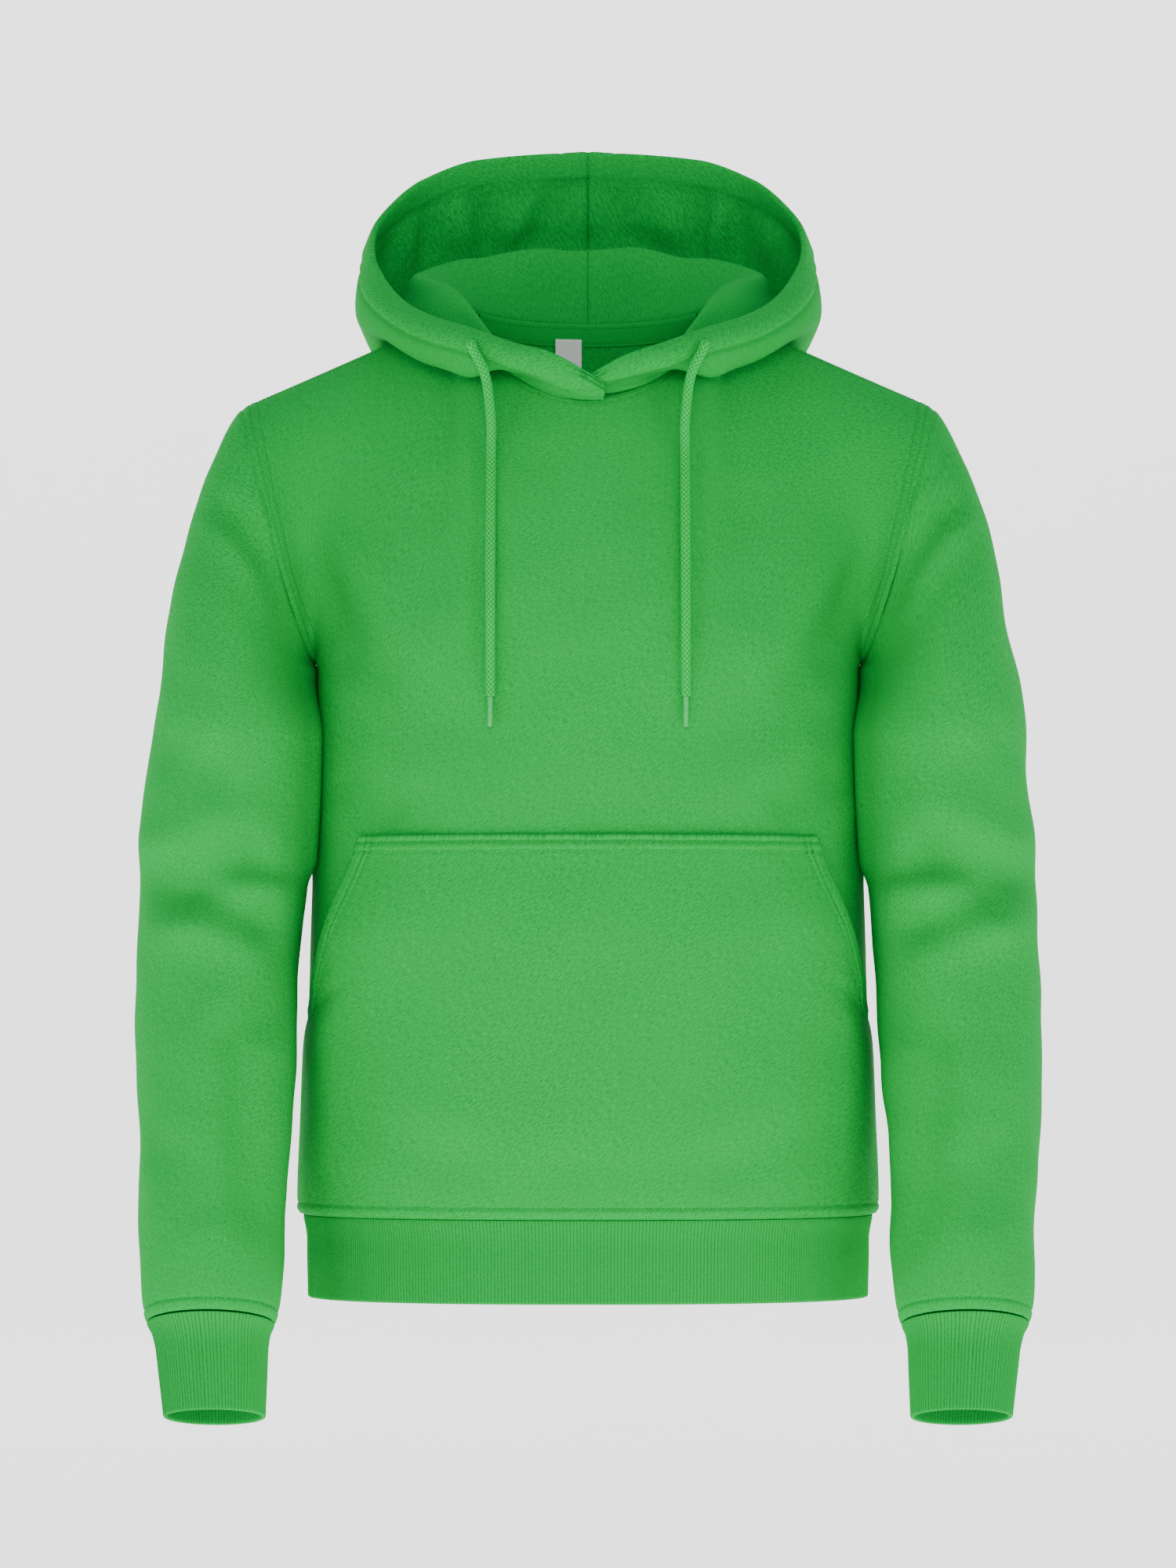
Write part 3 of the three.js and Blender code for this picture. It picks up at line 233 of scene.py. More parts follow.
def panel_point(rise, turn, height):
    """A point of a body panel: height is 0 at the hem seam, 1 at the armpit, 2 at the top edge."""
    turn, height = np.broadcast_arrays(np.asarray(turn, float), np.asarray(height, float))
    face = rise["face"]
    z = HEM_SEAM_Z + (ARMPIT_Z - HEM_SEAM_Z) * np.minimum(height, 1)
    section = read_table(BODY_SECTIONS, "z", z)
    section["z"] = z
    low = section_point(section, turn, face)
    side = np.where(turn < 0, -1, 1)[..., None] * np.array([1, 0, 0]) + np.array([0, 1, 1])
    top = top_point(turn, face)
    at_armhole = (np.abs(turn) ** 7)[..., None]
    neckward = (1 - ease(0.15, 1, np.abs(turn) / NECK_SHARE))[..., None]
    mix = lambda a, b, t: a + (b - a) * t
    lift = mix(np.array(rise["chestLift"]), side * np.array(rise["armholeLow"]), at_armhole)
    drop = mix(np.array(rise["overShoulder"]), np.array(rise["atNeck"]), neckward)
    drop = mix(drop, side * np.array(rise["armholeHigh"]), at_armhole)
    upper = bezier(low, low + lift, top + drop, top, np.clip(height - 1, 0, 1))
    return np.where((height <= 1)[..., None], low, upper)


def graded(length, spacing, close=(), far=()):
    """Distances from 0 to length, set close together near both of its ends."""
    near = [0, 0.7, 1.5, 2.5, 3.6, 4.7, 5.3, 6, 7, 8.3, 9.6, 10.8, 12, 13.6, 15.6, 18]
    start = near if close else [0]
    end = near if far else [0]
    room = length - start[-1] - end[-1]
    count = max(int(round(room / spacing)), 1)
    middle = [start[-1] + room * k / count for k in range(count + 1)]
    return np.array(start[:-1] + middle + [length - d for d in end[:-1]][::-1])


def grid_normals(grid, closed=False):
    if closed:
        across = np.roll(grid, -1, 1) - np.roll(grid, 1, 1)
    else:
        across = np.gradient(grid, axis=1)
    return unit(np.cross(across, np.gradient(grid, axis=0)))


def smooth(grid, closed=False, times=1):
    """Evens out small steps, and leaves the edges where they are."""
    for _ in range(times):
        if closed:
            mean = (np.roll(grid, 1, 1) + np.roll(grid, -1, 1) + 2 * grid) / 4
            mean[1:-1] = (mean[:-2] + mean[2:] + 2 * mean[1:-1]) / 4
            mean[0], mean[-1] = grid[0], grid[-1]
        else:
            mean = grid.copy()
            mean[:, 1:-1] = (grid[:, :-2] + grid[:, 2:] + 2 * grid[:, 1:-1]) / 4
            mean[1:-1] = (mean[:-2] + mean[2:] + 2 * mean[1:-1]) / 4
            mean[0], mean[-1], mean[:, 0], mean[:, -1] = grid[0], grid[-1], grid[:, 0], grid[:, -1]
        grid = mean
    return grid


def arc(grid, axis):
    """Distance along each row or column from its first point."""
    step = np.linalg.norm(np.diff(grid, axis=axis), axis=-1)
    pad = np.zeros_like(np.take(step, [0], axis=axis))
    return np.concatenate([pad, np.cumsum(step, axis=axis)], axis=axis)


# Meshes
def new_object(name, points, faces, uvs, material, flat=False):
    mesh = bpy.data.meshes.new(name)
    mesh.vertices.add(len(points))
    mesh.vertices.foreach_set("co", (np.asarray(points) / 1000).astype(np.float32).ravel())
    counts = np.array([len(f) for f in faces]) if not isinstance(faces, np.ndarray) else np.full(len(faces), faces.shape[1])
    flat_faces = np.concatenate([np.asarray(f) for f in faces]) if not isinstance(faces, np.ndarray) else faces.ravel()
    mesh.loops.add(len(flat_faces))
    mesh.loops.foreach_set("vertex_index", flat_faces.astype(np.int32))
    mesh.polygons.add(len(counts))
    starts = np.concatenate([[0], np.cumsum(counts)[:-1]])
    mesh.polygons.foreach_set("loop_start", starts.astype(np.int32))
    mesh.polygons.foreach_set("loop_total", counts.astype(np.int32))
    if uvs is not None:
        layer = mesh.uv_layers.new(name="cloth")
        layer.data.foreach_set("uv", np.asarray(uvs, np.float32).ravel())
    mesh.update(calc_edges=True)
    mesh.validate()
    mesh.polygons.foreach_set("use_smooth", np.full(len(mesh.polygons), not flat))
    mesh.materials.append(material)
    made = bpy.data.objects.new(name, mesh)
    bpy.context.scene.collection.objects.link(made)
    return made


def wall(name, outer, inner, material, closed=False, scale=(1, 1), rounded=(), uv=None):
    """A closed shell between two grids. rounded names its free edges: low, high, left, right."""
    rows, columns = outer.shape[:2]
    points = [outer.reshape(-1, 3), inner.reshape(-1, 3)]
    total = [2 * rows * columns]
    last = columns if closed else columns - 1
    i, j = np.meshgrid(np.arange(rows - 1), np.arange(last), indexing="ij")
    i, j = i.ravel(), j.ravel()
    at = lambda i, j: i * columns + j % columns
    quad = np.stack([at(i, j), at(i, j + 1), at(i + 1, j + 1), at(i + 1, j)], 1)
    if uv is None:
        across = arc(np.concatenate([outer, outer[:, :1]], 1) if closed else outer, 1).mean(0)
        up = arc(outer, 0).mean(1)
        uv = np.stack(np.meshgrid(across, up), -1)
    corner = np.stack([uv[i, j], uv[i, j + 1], uv[i + 1, j + 1], uv[i + 1, j]], 1)
    faces = [quad, quad[:, ::-1] + rows * columns]
    corners = [corner, corner[:, ::-1]]

    def strip(line_out, line_in, inside, places_out, places_in, line_uv, flip, is_round, ring):
        steps = 5 if is_round else 1
        previous = places_out
        count = len(line_out)
        centre = (line_out + line_in) / 2
        half = line_out - centre
        away = line_out - inside
        away = away - half * np.sum(away * half, -1, keepdims=True) / np.maximum(np.sum(half * half, -1, keepdims=True), 1e-9)
        away = unit(away) * np.linalg.norm(half, axis=-1, keepdims=True)
        for k in range(1, steps + 1):
            if k == steps:
                places = places_in
            else:
                turn = math.pi * k / steps
                points.append(centre + half * math.cos(turn) + away * math.sin(turn) * 0.9)
                places = total[0] + np.arange(count)
                total[0] += count
            n = np.arange(count if ring else count - 1)
            m = (n + 1) % count
            made = np.stack([previous[n], previous[m], places[m], places[n]], 1)
            m_uv = n + 1
            made_uv = np.stack([line_uv[n], line_uv[m_uv], line_uv[m_uv], line_uv[n]], 1)
            faces.append(made[:, ::-1] if flip else made)
            corners.append(made_uv[:, ::-1] if flip else made_uv)
            previous = places

    inner_at = rows * columns
    c = np.arange(columns)
    strip(outer[0], inner[0], outer[1], c, c + inner_at, uv[0], True, "low" in rounded, closed)
    high = (rows - 1) * columns + c
    strip(outer[-1], inner[-1], outer[-2], high, high + inner_at, uv[-1], False, "high" in rounded, closed)
    if not closed:
        r = np.arange(rows) * columns
        strip(outer[:, 0], inner[:, 0], outer[:, 1], r, r + inner_at, uv[:, 0], False, "left" in rounded, False)
        r = r + columns - 1
        strip(outer[:, -1], inner[:, -1], outer[:, -2], r, r + inner_at, uv[:, -1], True, "right" in rounded, False)
    uvs = np.concatenate(corners).reshape(-1, 2) * np.array(scale)
    return new_object(name, np.concatenate(points), np.concatenate(faces), uvs, material)


def dress(piece, slot, *nodes):
    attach(piece, "root")
    if nodes:
        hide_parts(*nodes)
    return piece


def declare_cut(piece, grid, held, closed=False, rows=slice(None), columns=slice(None)):
    """Does nothing; the flat size of the cloth that shows is not stated here."""


def traced(values, level, grid, normals):
    """Where each row of the values first passes a level, as a path with the normals along it."""
    past = values >= level
    j = past.argmax(1)
    rows = np.nonzero((j > 0) & past.any(1))[0]
    j = j[rows]
    low, high = values[rows, j - 1], values[rows, j]
    share = ((level - low) / (high - low))[:, None]
    between = lambda g: g[rows, j - 1] + (g[rows, j] - g[rows, j - 1]) * share
    return between(grid), unit(between(normals))


# A stitch along its length: place, thickness and height over the cloth
STITCH = np.array([(-1, 0, -0.9), (-0.62, 0.8, -0.1), (0, 1, 0.2), (0.62, 0.8, -0.1), (1, 0, -0.9)])
STITCH_PITCH = 2.9
STITCH_HALF = 1.15
THREAD_RADIUS = 0.42


def stitch_rows(name, lines, slot):
    """Rows of stitches as one mesh. Each line is a path on the cloth and the normals along it."""
    centres, ways, outs = [], [], []
    for path, normals in lines:
        along = arc(path, 0)
        at = np.arange(STITCH_PITCH / 2, along[-1], STITCH_PITCH)
        pick = lambda grid: np.stack([np.interp(at, along, grid[:, k]) for k in range(3)], 1)
        centres.append(pick(path))
        ways.append(pick(unit(np.gradient(path, axis=0))))
        outs.append(pick(normals))
    centre, way, out = (np.concatenate(part)[:, None, None] for part in (centres, ways, outs))
    across = unit(np.cross(out, way))
    place, thick, height = (STITCH[None, :, None, k, None] for k in range(3))
    turn = (np.arange(4) * math.pi / 2)[None, None, :, None]
    ring = across * np.cos(turn) + out * np.sin(turn)
    points = centre + way * place * STITCH_HALF + (out * height + ring * thick) * THREAD_RADIUS
    count = len(points)
    station, side = (part.ravel() for part in np.meshgrid(np.arange(4), np.arange(4), indexing="ij"))
    after = (side + 1) % 4
    quad = np.stack([station * 4 + side, station * 4 + after, station * 4 + 4 + after, station * 4 + 4 + side], 1)
    faces = (np.arange(count)[:, None, None] * 20 + quad[None]).reshape(-1, 4)
    uvs = np.zeros((len(faces) * 4, 2))
    rows = new_object(name, points.reshape(-1, 3), faces, uvs, THREAD)
    # The ends close to points
    mesh = bmesh.new()
    mesh.from_mesh(rows.data)
    bmesh.ops.remove_doubles(mesh, verts=mesh.verts, dist=1e-6)
    mesh.to_mesh(rows.data)
    mesh.free()
    return dress(rows, slot)


# Camera and cords come first
def set_camera():
    data = bpy.data.cameras.new("camera")
    data.sensor_fit = "VERTICAL"
    data.sensor_height = 24
    data.lens = 6481 * 24 / 2000
    camera = bpy.data.objects.new("camera", data)
    camera.location = (0, -3.5, -0.491)
    camera.rotation_euler = (math.radians(90 + 2.65), 0, 0)
    bpy.context.scene.collection.objects.link(camera)
    bpy.context.scene.camera = camera


set_camera()


# Materials
GREEN = (0.0, 0.345, 0.046)
GREEN_LIT = (0.01, 0.55, 0.08, 1)
CLOTH_SPECULAR = 0.08


class Nodes:
    """Short calls for building a material's nodes."""

    def __init__(self, name):
        self.material = bpy.data.materials.new(name)
        self.material.use_nodes = True
        self.tree = self.material.node_tree
        self.shader = self.tree.nodes["Principled BSDF"]

    def link(self, socket, value):
        if isinstance(value, bpy.types.NodeSocket):
            self.tree.links.new(value, socket)
        else:
            socket.default_value = value

    def math(self, operation, a, b=0.0, c=0.0):
        node = self.tree.nodes.new("ShaderNodeMath")
        node.operation = operation
        for socket, value in zip(node.inputs, (a, b, c)):
            self.link(socket, value)
        return node.outputs[0]

    def uv(self):
        node = self.tree.nodes.new("ShaderNodeUVMap")
        node.uv_map = "cloth"
        return node.outputs[0]

    def place(self):
        return self.tree.nodes.new("ShaderNodeTexCoord").outputs["Object"]

    def split(self, vector):
        node = self.tree.nodes.new("ShaderNodeSeparateXYZ")
        self.link(node.inputs[0], vector)
        return node.outputs

    def stretched(self, vector, size, turn=0.0):
        """The vector in lengths of size, along an axis that is turned by the given angle."""
        node = self.tree.nodes.new("ShaderNodeMapping")
        node.vector_type = "TEXTURE"
        self.link(node.inputs["Vector"], vector)
        node.inputs["Scale"].default_value = size
        node.inputs["Rotation"].default_value = (0, 0, turn)
        return node.outputs[0]

    def noise(self, vector, scale, detail=2.0, rough=0.5):
        node = self.tree.nodes.new("ShaderNodeTexNoise")
        self.link(node.inputs["Vector"], vector)
        node.inputs["Scale"].default_value = scale
        node.inputs["Detail"].default_value = detail
        node.inputs["Roughness"].default_value = rough
        return node.outputs["Fac"]

    def ramp(self, value, low, high):
        node = self.tree.nodes.new("ShaderNodeMapRange")
        self.link(node.inputs["Value"], value)
        node.inputs["From Min"].default_value = low[0]
        node.inputs["From Max"].default_value = high[0]
        node.inputs["To Min"].default_value = low[1]
        node.inputs["To Max"].default_value = high[1]
        return node.outputs[0]

    def mix(self, share, a, b):
        node = self.tree.nodes.new("ShaderNodeMix")
        node.data_type = "RGBA"
        self.link(node.inputs[0], share)
        self.link(node.inputs[6], a)
        self.link(node.inputs[7], b)
        return node.outputs[2]

    def wave(self, value, length):
        """The height of an upright wave, from 0 to 1, with one crest in each length."""
        return self.math("ABSOLUTE", self.math("SINE", self.math("MULTIPLY", value, math.pi / length)))

    def finish(self, colour, height, distance, roughness, sheen=0.0, tint=(1, 1, 1, 1), **settings):
        self.link(self.shader.inputs["Base Color"], colour)
        self.link(self.shader.inputs["Roughness"], roughness)
        self.shader.inputs["Specular IOR Level"].default_value = CLOTH_SPECULAR
        self.shader.inputs["Sheen Weight"].default_value = sheen
        self.shader.inputs["Sheen Roughness"].default_value = 0.45
        self.shader.inputs["Sheen Tint"].default_value = tint
        for name, value in settings.items():
            self.shader.inputs[name.replace("_", " ")].default_value = value
        node = self.tree.nodes.new("ShaderNodeBump")
        node.inputs["Strength"].default_value = 1.0
        node.inputs["Distance"].default_value = distance
        self.link(node.inputs["Height"], height)
        self.link(self.shader.inputs["Normal"], node.outputs[0])
        return self.material




def green(share):
    return tuple(c * share for c in GREEN) + (1,)


def fleece_material():
    n = Nodes("green_fleece")
    uv, place = n.uv(), n.place()
    # Slanting streaks of brushed fibre, a fine speckle of nap over them, and slow clouds of shade
    streaks = n.noise(n.stretched(uv, (3.6, 1.0, 1), math.radians(40)), 1.0, 2, 0.6)
    speckle = n.noise(uv, 1.15, 2, 0.7)
    clouds = n.noise(place, 14, 3, 0.55)
    tone = n.math("ADD", n.math("MULTIPLY", streaks, 0.5), n.math("MULTIPLY", speckle, 0.5))
    shade = n.mix(n.ramp(tone, (0.38, 0), (0.62, 1)), green(0.70), green(1.34))
    colour = n.mix(n.ramp(clouds, (0.35, 0), (0.65, 0.3)), shade, green(1.06))
    return n.finish(colour, tone, 0.0004, n.ramp(tone, (0.3, 0.96), (0.7, 0.84)), 0.06, GREEN_LIT)


def rib_material():
    """Its map runs one unit for each rib, and in millimetres along the ribs."""
    n = Nodes("green_rib")
    uv = n.uv()
    x, y, _ = n.split(uv)
    crest = n.wave(x, 1.0)
    course = n.wave(y, 0.9)
    speckle = n.noise(n.stretched(uv, (0.8, 1.6, 1)), 1.0, 2, 0.6)
    # The grooves between the ribs are painted darker than the crests, green(0.60) against green(1.06): painted shade
    # in the hollows of the knit
    depth = n.mix(n.ramp(crest, (0.15, 0), (0.75, 1)), green(0.60), green(1.06))
    colour = n.mix(n.ramp(speckle, (0.35, 0), (0.65, 0.5)), depth, green(1.12))
    height = n.math("ADD", n.math("MULTIPLY", course, 0.3), n.math("MULTIPLY", speckle, 0.7))
    return n.finish(colour, height, 0.0005, 0.9, 0.10, GREEN_LIT)


def tape_material():
    n = Nodes("green_tape")
    uv = n.uv()
    x, y, _ = n.split(uv)
    slant = n.math("SINE", n.math("MULTIPLY", n.math("ADD", x, y), 2 * math.pi / 0.8))
    speckle = n.noise(uv, 1.4, 2, 0.6)
    # The tape is painted lighter than the fleece, green(1.15) to green(1.5): painted light that makes up for the shade
    # the collar casts on it
    colour = n.mix(n.ramp(speckle, (0.3, 0), (0.7, 1)), green(1.15), green(1.5))
    return n.finish(colour, n.math("ADD", n.math("MULTIPLY", slant, 0.3), speckle), 0.0003, 0.85, 0.08, GREEN_LIT)


CORD_DIAMETER = 6.6
BRAID_STRANDS = 6
BRAID_RISE = 0.29  # turns of a strand for each millimetre along the cord


def cord_material():
    n = Nodes("green_braid")
    uv = n.uv()
    x, y, _ = n.split(uv)
    # The same crossing strands as the mesh has, painted dark where they dive under each other (painted shade between
    # the strands) and lighter on their crests
    girth = math.pi * CORD_DIAMETER
    share = n.math("MULTIPLY", x, BRAID_STRANDS / girth)
    run = n.math("MULTIPLY", y, BRAID_RISE)
    one, other = n.math("ADD", share, run), n.math("SUBTRACT", share, run)
    crossing = n.math("ADD", n.math("FLOOR", one), n.math("FLOOR", other))
    over = n.math("FLOORED_MODULO", crossing, 2.0)
    ridge = n.math("ADD", n.math("MULTIPLY", n.wave(one, 1.0), over), n.math("MULTIPLY", n.wave(other, 1.0), n.math("SUBTRACT", 1.0, over)))
    speckle = n.noise(uv, 2.2, 2, 0.6)
    strand = n.mix(n.ramp(ridge, (0.15, 0), (0.7, 1)), green(0.45), green(1.75))
    colour = n.mix(n.ramp(speckle, (0.3, 0), (0.7, 0.2)), strand, green(1.6))
    return n.finish(colour, speckle, 0.0003, 0.75, 0.12, GREEN_LIT)


def aglet_material():
    n = Nodes("green_aglet")
    speckle = n.noise(n.place(), 300, 2, 0.5)
    colour = n.mix(n.ramp(speckle, (0.3, 0), (0.7, 1)), green(1.05), green(1.45))
    gloss = {"Specular_IOR_Level": 0.5, "Coat_Weight": 0.6, "Coat_Roughness": 0.15}
    return n.finish(colour, speckle, 0.00005, 0.28, **gloss)


def thread_material():
    n = Nodes("green_thread")
    speckle = n.noise(n.place(), 900, 2, 0.5)
    colour = n.mix(n.ramp(speckle, (0.3, 0), (0.7, 1)), green(0.8), green(1.0))
    return n.finish(colour, speckle, 0.0001, 0.6, 0.05, GREEN_LIT)


def label_material():
    n = Nodes("white_satin")
    uv = n.uv()
    x, y, _ = n.split(uv)
    weave = n.math("SINE", n.math("MULTIPLY", y, 2 * math.pi / 0.35))
    speckle = n.noise(uv, 3.0, 2, 0.6)
    colour = n.mix(n.ramp(speckle, (0.3, 0), (0.7, 1)), (0.92, 0.92, 0.94, 1), (0.98, 0.98, 0.99, 1))
    return n.finish(colour, n.math("ADD", n.math("MULTIPLY", weave, 0.3), speckle), 0.00015, 0.45, 0.1)


FLEECE = fleece_material()
RIB = rib_material()
TAPE = tape_material()
BRAID = cord_material()
PLASTIC = aglet_material()
THREAD = thread_material()
SATIN = label_material()

# Drawcords, along the same route as their solids
CORD_ROUTE = [
    (78.4, -100.1, -38.4),
    (76.6, -101.2, -42.6),
    (73.6, -102.4, -48.0),
    (70.4, -103.2, -55.0),
    (68.0, -103.9, -64.0),
    (66.6, -104.6, -74.0),
]
CORD_FALL = {"x": 65.0, "y": -104.8, "fromZ": -92.0, "toZ": -277.0, "steps": 15}
CORD_OFF = CORD_DIAMETER / 2 + 1.3
AGLET_LENGTH = 20.0


def halve(low, high, test, steps=40):
    for _ in range(steps):
        middle = (low + high) / 2
        if test(middle):
            low = middle
        else:
            high = middle
    return (low + high) / 2


def turn_at_x(rise, x, height):
    return halve(0.0, 1.0, lambda t: panel_point(rise, t, height)[0] < x)


def chest_y(x, z):
    if z <= ARMPIT_Z:
        height = (z - HEM_SEAM_Z) / (ARMPIT_Z - HEM_SEAM_Z)
        return panel_point(FRONT_RISE, turn_at_x(FRONT_RISE, x, height), height)[1]
    at = lambda h: panel_point(FRONT_RISE, turn_at_x(FRONT_RISE, x, h), h)
    return at(halve(1.0, 2.0, lambda h: at(h)[2] < z, 24))[1]


def spline(points, count):
    """A centripetal curve through the points, evenly spaced along its length."""
    p = np.asarray(points, float)
    p = np.concatenate([2 * p[:1] - p[1:2], p, 2 * p[-1:] - p[-2:-1]])
    made = []
    share = np.linspace(0, 1, 41)[:, None]
    for a, b, c, d in zip(p[:-3], p[1:-2], p[2:-1], p[3:]):
        d0, d1, d2 = (max(np.linalg.norm(w - v) ** 0.5, 1e-4) for v, w in ((a, b), (b, c), (c, d)))
        t1 = ((b - a) / d0 - (c - a) / (d0 + d1) + (c - b) / d1) * d1
        t2 = ((c - b) / d1 - (d - b) / (d1 + d2) + (d - c) / d2) * d1
        t = share
        made.append(
            (2 * t**3 - 3 * t**2 + 1) * b + (t**3 - 2 * t**2 + t) * t1 + (3 * t**2 - 2 * t**3) * c + (t**3 - t**2) * t2
        )
    fine = np.concatenate([m[:-1] for m in made] + [made[-1][-1:]])
    along = arc(fine, 0)
    at = np.linspace(0, along[-1], count)
    return np.stack([np.interp(at, along, fine[:, k]) for k in range(3)], 1)


def tube(name, path, radius_of, sides, material, ends=True):
    """A closed tube along a path. radius_of gives its radius at (share round, distance along)."""
    along = arc(path, 0)
    way = unit(np.gradient(path, axis=0))
    side = unit(np.cross(way, np.array([0.3, 1.0, 0.2])))
    other = np.cross(side, way)
    share = np.arange(sides) / sides
    angle = 2 * math.pi * share
    radius = radius_of(share[None, :], along[:, None]) * np.ones((len(path), sides))
    ring = (
        path[:, None]
        + radius[..., None] * (np.cos(angle)[None, :, None] * side[:, None] + np.sin(angle)[None, :, None] * other[:, None])
    )
    rows = len(path)
    points = np.concatenate([ring.reshape(-1, 3), path[:1] - way[:1] * 0.8, path[-1:] + way[-1:] * 0.8])
    i, j = np.meshgrid(np.arange(rows - 1), np.arange(sides), indexing="ij")
    i, j = i.ravel(), j.ravel()
    k = (j + 1) % sides
    quads = np.stack([i * sides + j, i * sides + k, (i + 1) * sides + k, (i + 1) * sides + j], 1)
    low, high = rows * sides, rows * sides + 1
    n = np.arange(sides)
    m = (n + 1) % sides
    top = (rows - 1) * sides
    caps = [[low, b, a] for a, b in zip(n, m)] + [[high, top + a, top + b] for a, b in zip(n, m)]
    faces = [list(q) for q in quads] + caps
    girth = 2 * math.pi * CORD_DIAMETER / 2
    uv = np.stack(
        [
            np.stack([j, j + 1, j + 1, j], 1) / sides * girth,
            np.stack([along[i], along[i], along[i + 1], along[i + 1]], 1),
        ],
        -1,
    ).reshape(-1, 2)
    cap_uv = np.zeros((len(caps) * 3, 2))
    return new_object(name, points, faces, np.concatenate([uv, cap_uv]), material)


def braid_radius(share, along):
    """Strands of a round braid run both ways and cross over and under, so that they read as chevrons."""
    one = BRAID_STRANDS * share + along * BRAID_RISE
    other = BRAID_STRANDS * share - along * BRAID_RISE
    over = (np.floor(one) + np.floor(other)) % 2
    ridge = np.where(over > 0.5, np.abs(np.sin(math.pi * one)), np.abs(np.sin(math.pi * other)))
    return CORD_DIAMETER / 2 - 0.5 + 0.66 * ridge**0.7


def drawcord(label, side):
    points = [np.array(p) for p in CORD_ROUTE]
    for i in range(CORD_FALL["steps"] + 1):
        z = CORD_FALL["fromZ"] + (CORD_FALL["toZ"] - CORD_FALL["fromZ"]) * i / CORD_FALL["steps"]
        y = min(chest_y(CORD_FALL["x"], z) - CORD_OFF, CORD_FALL["y"])
        points.append(np.array([CORD_FALL["x"], y, z]))
    points = np.array(points) * np.array([side, 1, 1])
    inside = points[0] + np.array([side * 0.5, 7.5, 2.0])
    path = spline(np.concatenate([[inside], points]), 440)
    cord = tube("drawcord_" + label + "_braid", path, braid_radius, 24, BRAID)
    way = unit(path[-1] - path[-8])
    tip = path[-1] + way * (0.3 + AGLET_LENGTH)
    aglet_path = np.linspace(path[-1] - way * 1.5, tip, 40)

    def aglet_radius(share, along):
        total = AGLET_LENGTH + 1.8
        end = np.clip((total - along) / 1.2, 0, 1)
        start = np.clip(along / 1.0, 0, 1)
        return 2.05 * np.sqrt(np.clip(1 - (1 - end) ** 2, 0.05, 1)) * (0.86 + 0.14 * start) + 0.12 * bump(along, 2.2, 0.8)

    aglet = tube("aglet_" + label + "_tip", aglet_path, aglet_radius, 20, PLASTIC)
    dress(cord, "cord", "drawcord_" + label)
    dress(aglet, "aglet", "aglet_" + label)


drawcord("left", 1)
drawcord("right", -1)


# Body panels
TWIN = (5.0, 11.3)  # how far the two stitch lines lie from a seam
HEM_STITCH = 6.9
CUFF_STITCH = 8.1
BODY_HALF = 240.0
BODY_LOWER = 374.0
BODY_UPPER = 215.0
# Heights between which body and sleeve lie against each other, and how far each then reaches out
CONTACT_LOW = (-402, -382)
CONTACT_HIGH = (-253, -246)
CONTACT_RISE = 0.55
CONTACT_REACH = 9.0


def crease(grid, path, width, depth, ends=0.25, ridge=0.45, axes=(0, 2)):
    """Depth of a soft trough along a path, with lower ridges beside it, seen along one axis."""
    at = grid[..., axes]
    p = np.array(path, float)
    length = np.concatenate([[0], np.cumsum(np.linalg.norm(np.diff(p, axis=0), axis=1))])
    best = np.full(at.shape[:-1], 1e9)
    where = np.zeros(at.shape[:-1])
    for a, b, start, total in zip(p[:-1], p[1:], length[:-1], np.diff(length)):
        t = np.clip(((at - a) @ (b - a)) / total**2, 0, 1)
        d = np.linalg.norm(at - (a + t[..., None] * (b - a)), axis=-1)
        nearer = d < best
        best = np.where(nearer, d, best)
        where = np.where(nearer, start + t * total, where)
    share = where / length[-1]
    fade = ease(0, ends, share) * (1 - ease(1 - ends, 1, share))
    profile = -np.exp(-((best / width) ** 2)) + ridge * np.exp(-(((best - 1.9 * width) / width) ** 2))
    return depth * fade * profile


def groove(distance, depth=1.3, width=2.4):
    """Cloth turning in to a seam."""
    return -depth * np.exp(-((distance / width) ** 2))


def stitched(distance, lines=TWIN, depth=0.45, width=1.1):
    """Cloth pulled in along rows of stitches."""
    return -depth * sum(np.exp(-(((distance - line) / width) ** 2)) for line in lines)


def swell(grid, seed, size, amount):
    """Slow, uneven swelling, from a few waves that run different ways."""
    rng = np.random.default_rng(seed)
    total = np.zeros(grid.shape[:-1])
    for _ in range(7):
        way = rng.normal(size=3)
        way /= np.linalg.norm(way) * size * rng.uniform(0.7, 1.5)
        total += np.sin(2 * math.pi * (grid @ way) + rng.uniform(0, 2 * math.pi))
    return amount * total / 3


# Creases of the body, as paths of (x, z) with a width and a depth, for the wearer's left side
FRONT_CREASES = [
    ([(208, -158), (192, -190), (179, -222), (166, -252), (158, -276)], 14, 5.5),
    ([(196, -178), (168, -214), (146, -250), (136, -286)], 15, 3.6),
    ([(176, -318), (148, -338), (118, -356)], 14, 3.4),
    ([(150, -262), (96, -296), (30, -310)], 20, 2.2),
    ([(104, -120), (92, -170), (96, -230)], 22, 2.0),
    ([(183, -540), (160, -575), (120, -600)], 15, 3.0),
    ([(73, -62), (71, -150), (71, -268)], 5, 1.8),
]
BACK_CREASES = [
    ([(210, -150), (196, -195), (182, -245), (170, -300)], 15, 6.0),
    ([(180, -220), (160, -272), (132, -318), (90, -350)], 17, 5.0),
    ([(170, -420), (120, -452), (50, -470), (0, -474)], 19, 4.6),
    ([(176, -520), (120, -548), (40, -560), (-30, -556)], 20, 4.6),
    ([(96, -30), (110, -80), (116, -130)], 16, 3.0),
]


def both_sides(creases, uneven):
    for k, (path, width, depth) in enumerate(creases):
        yield path, width, depth
        shift = 6 * math.sin(uneven + 2.1 * k)
        mirrored = [(-x + 0.3 * shift, z + shift) for x, z in path]
        yield mirrored, width * (1 + 0.08 * math.sin(uneven * 3 + k)), depth * (1 + 0.15 * math.cos(uneven + k))


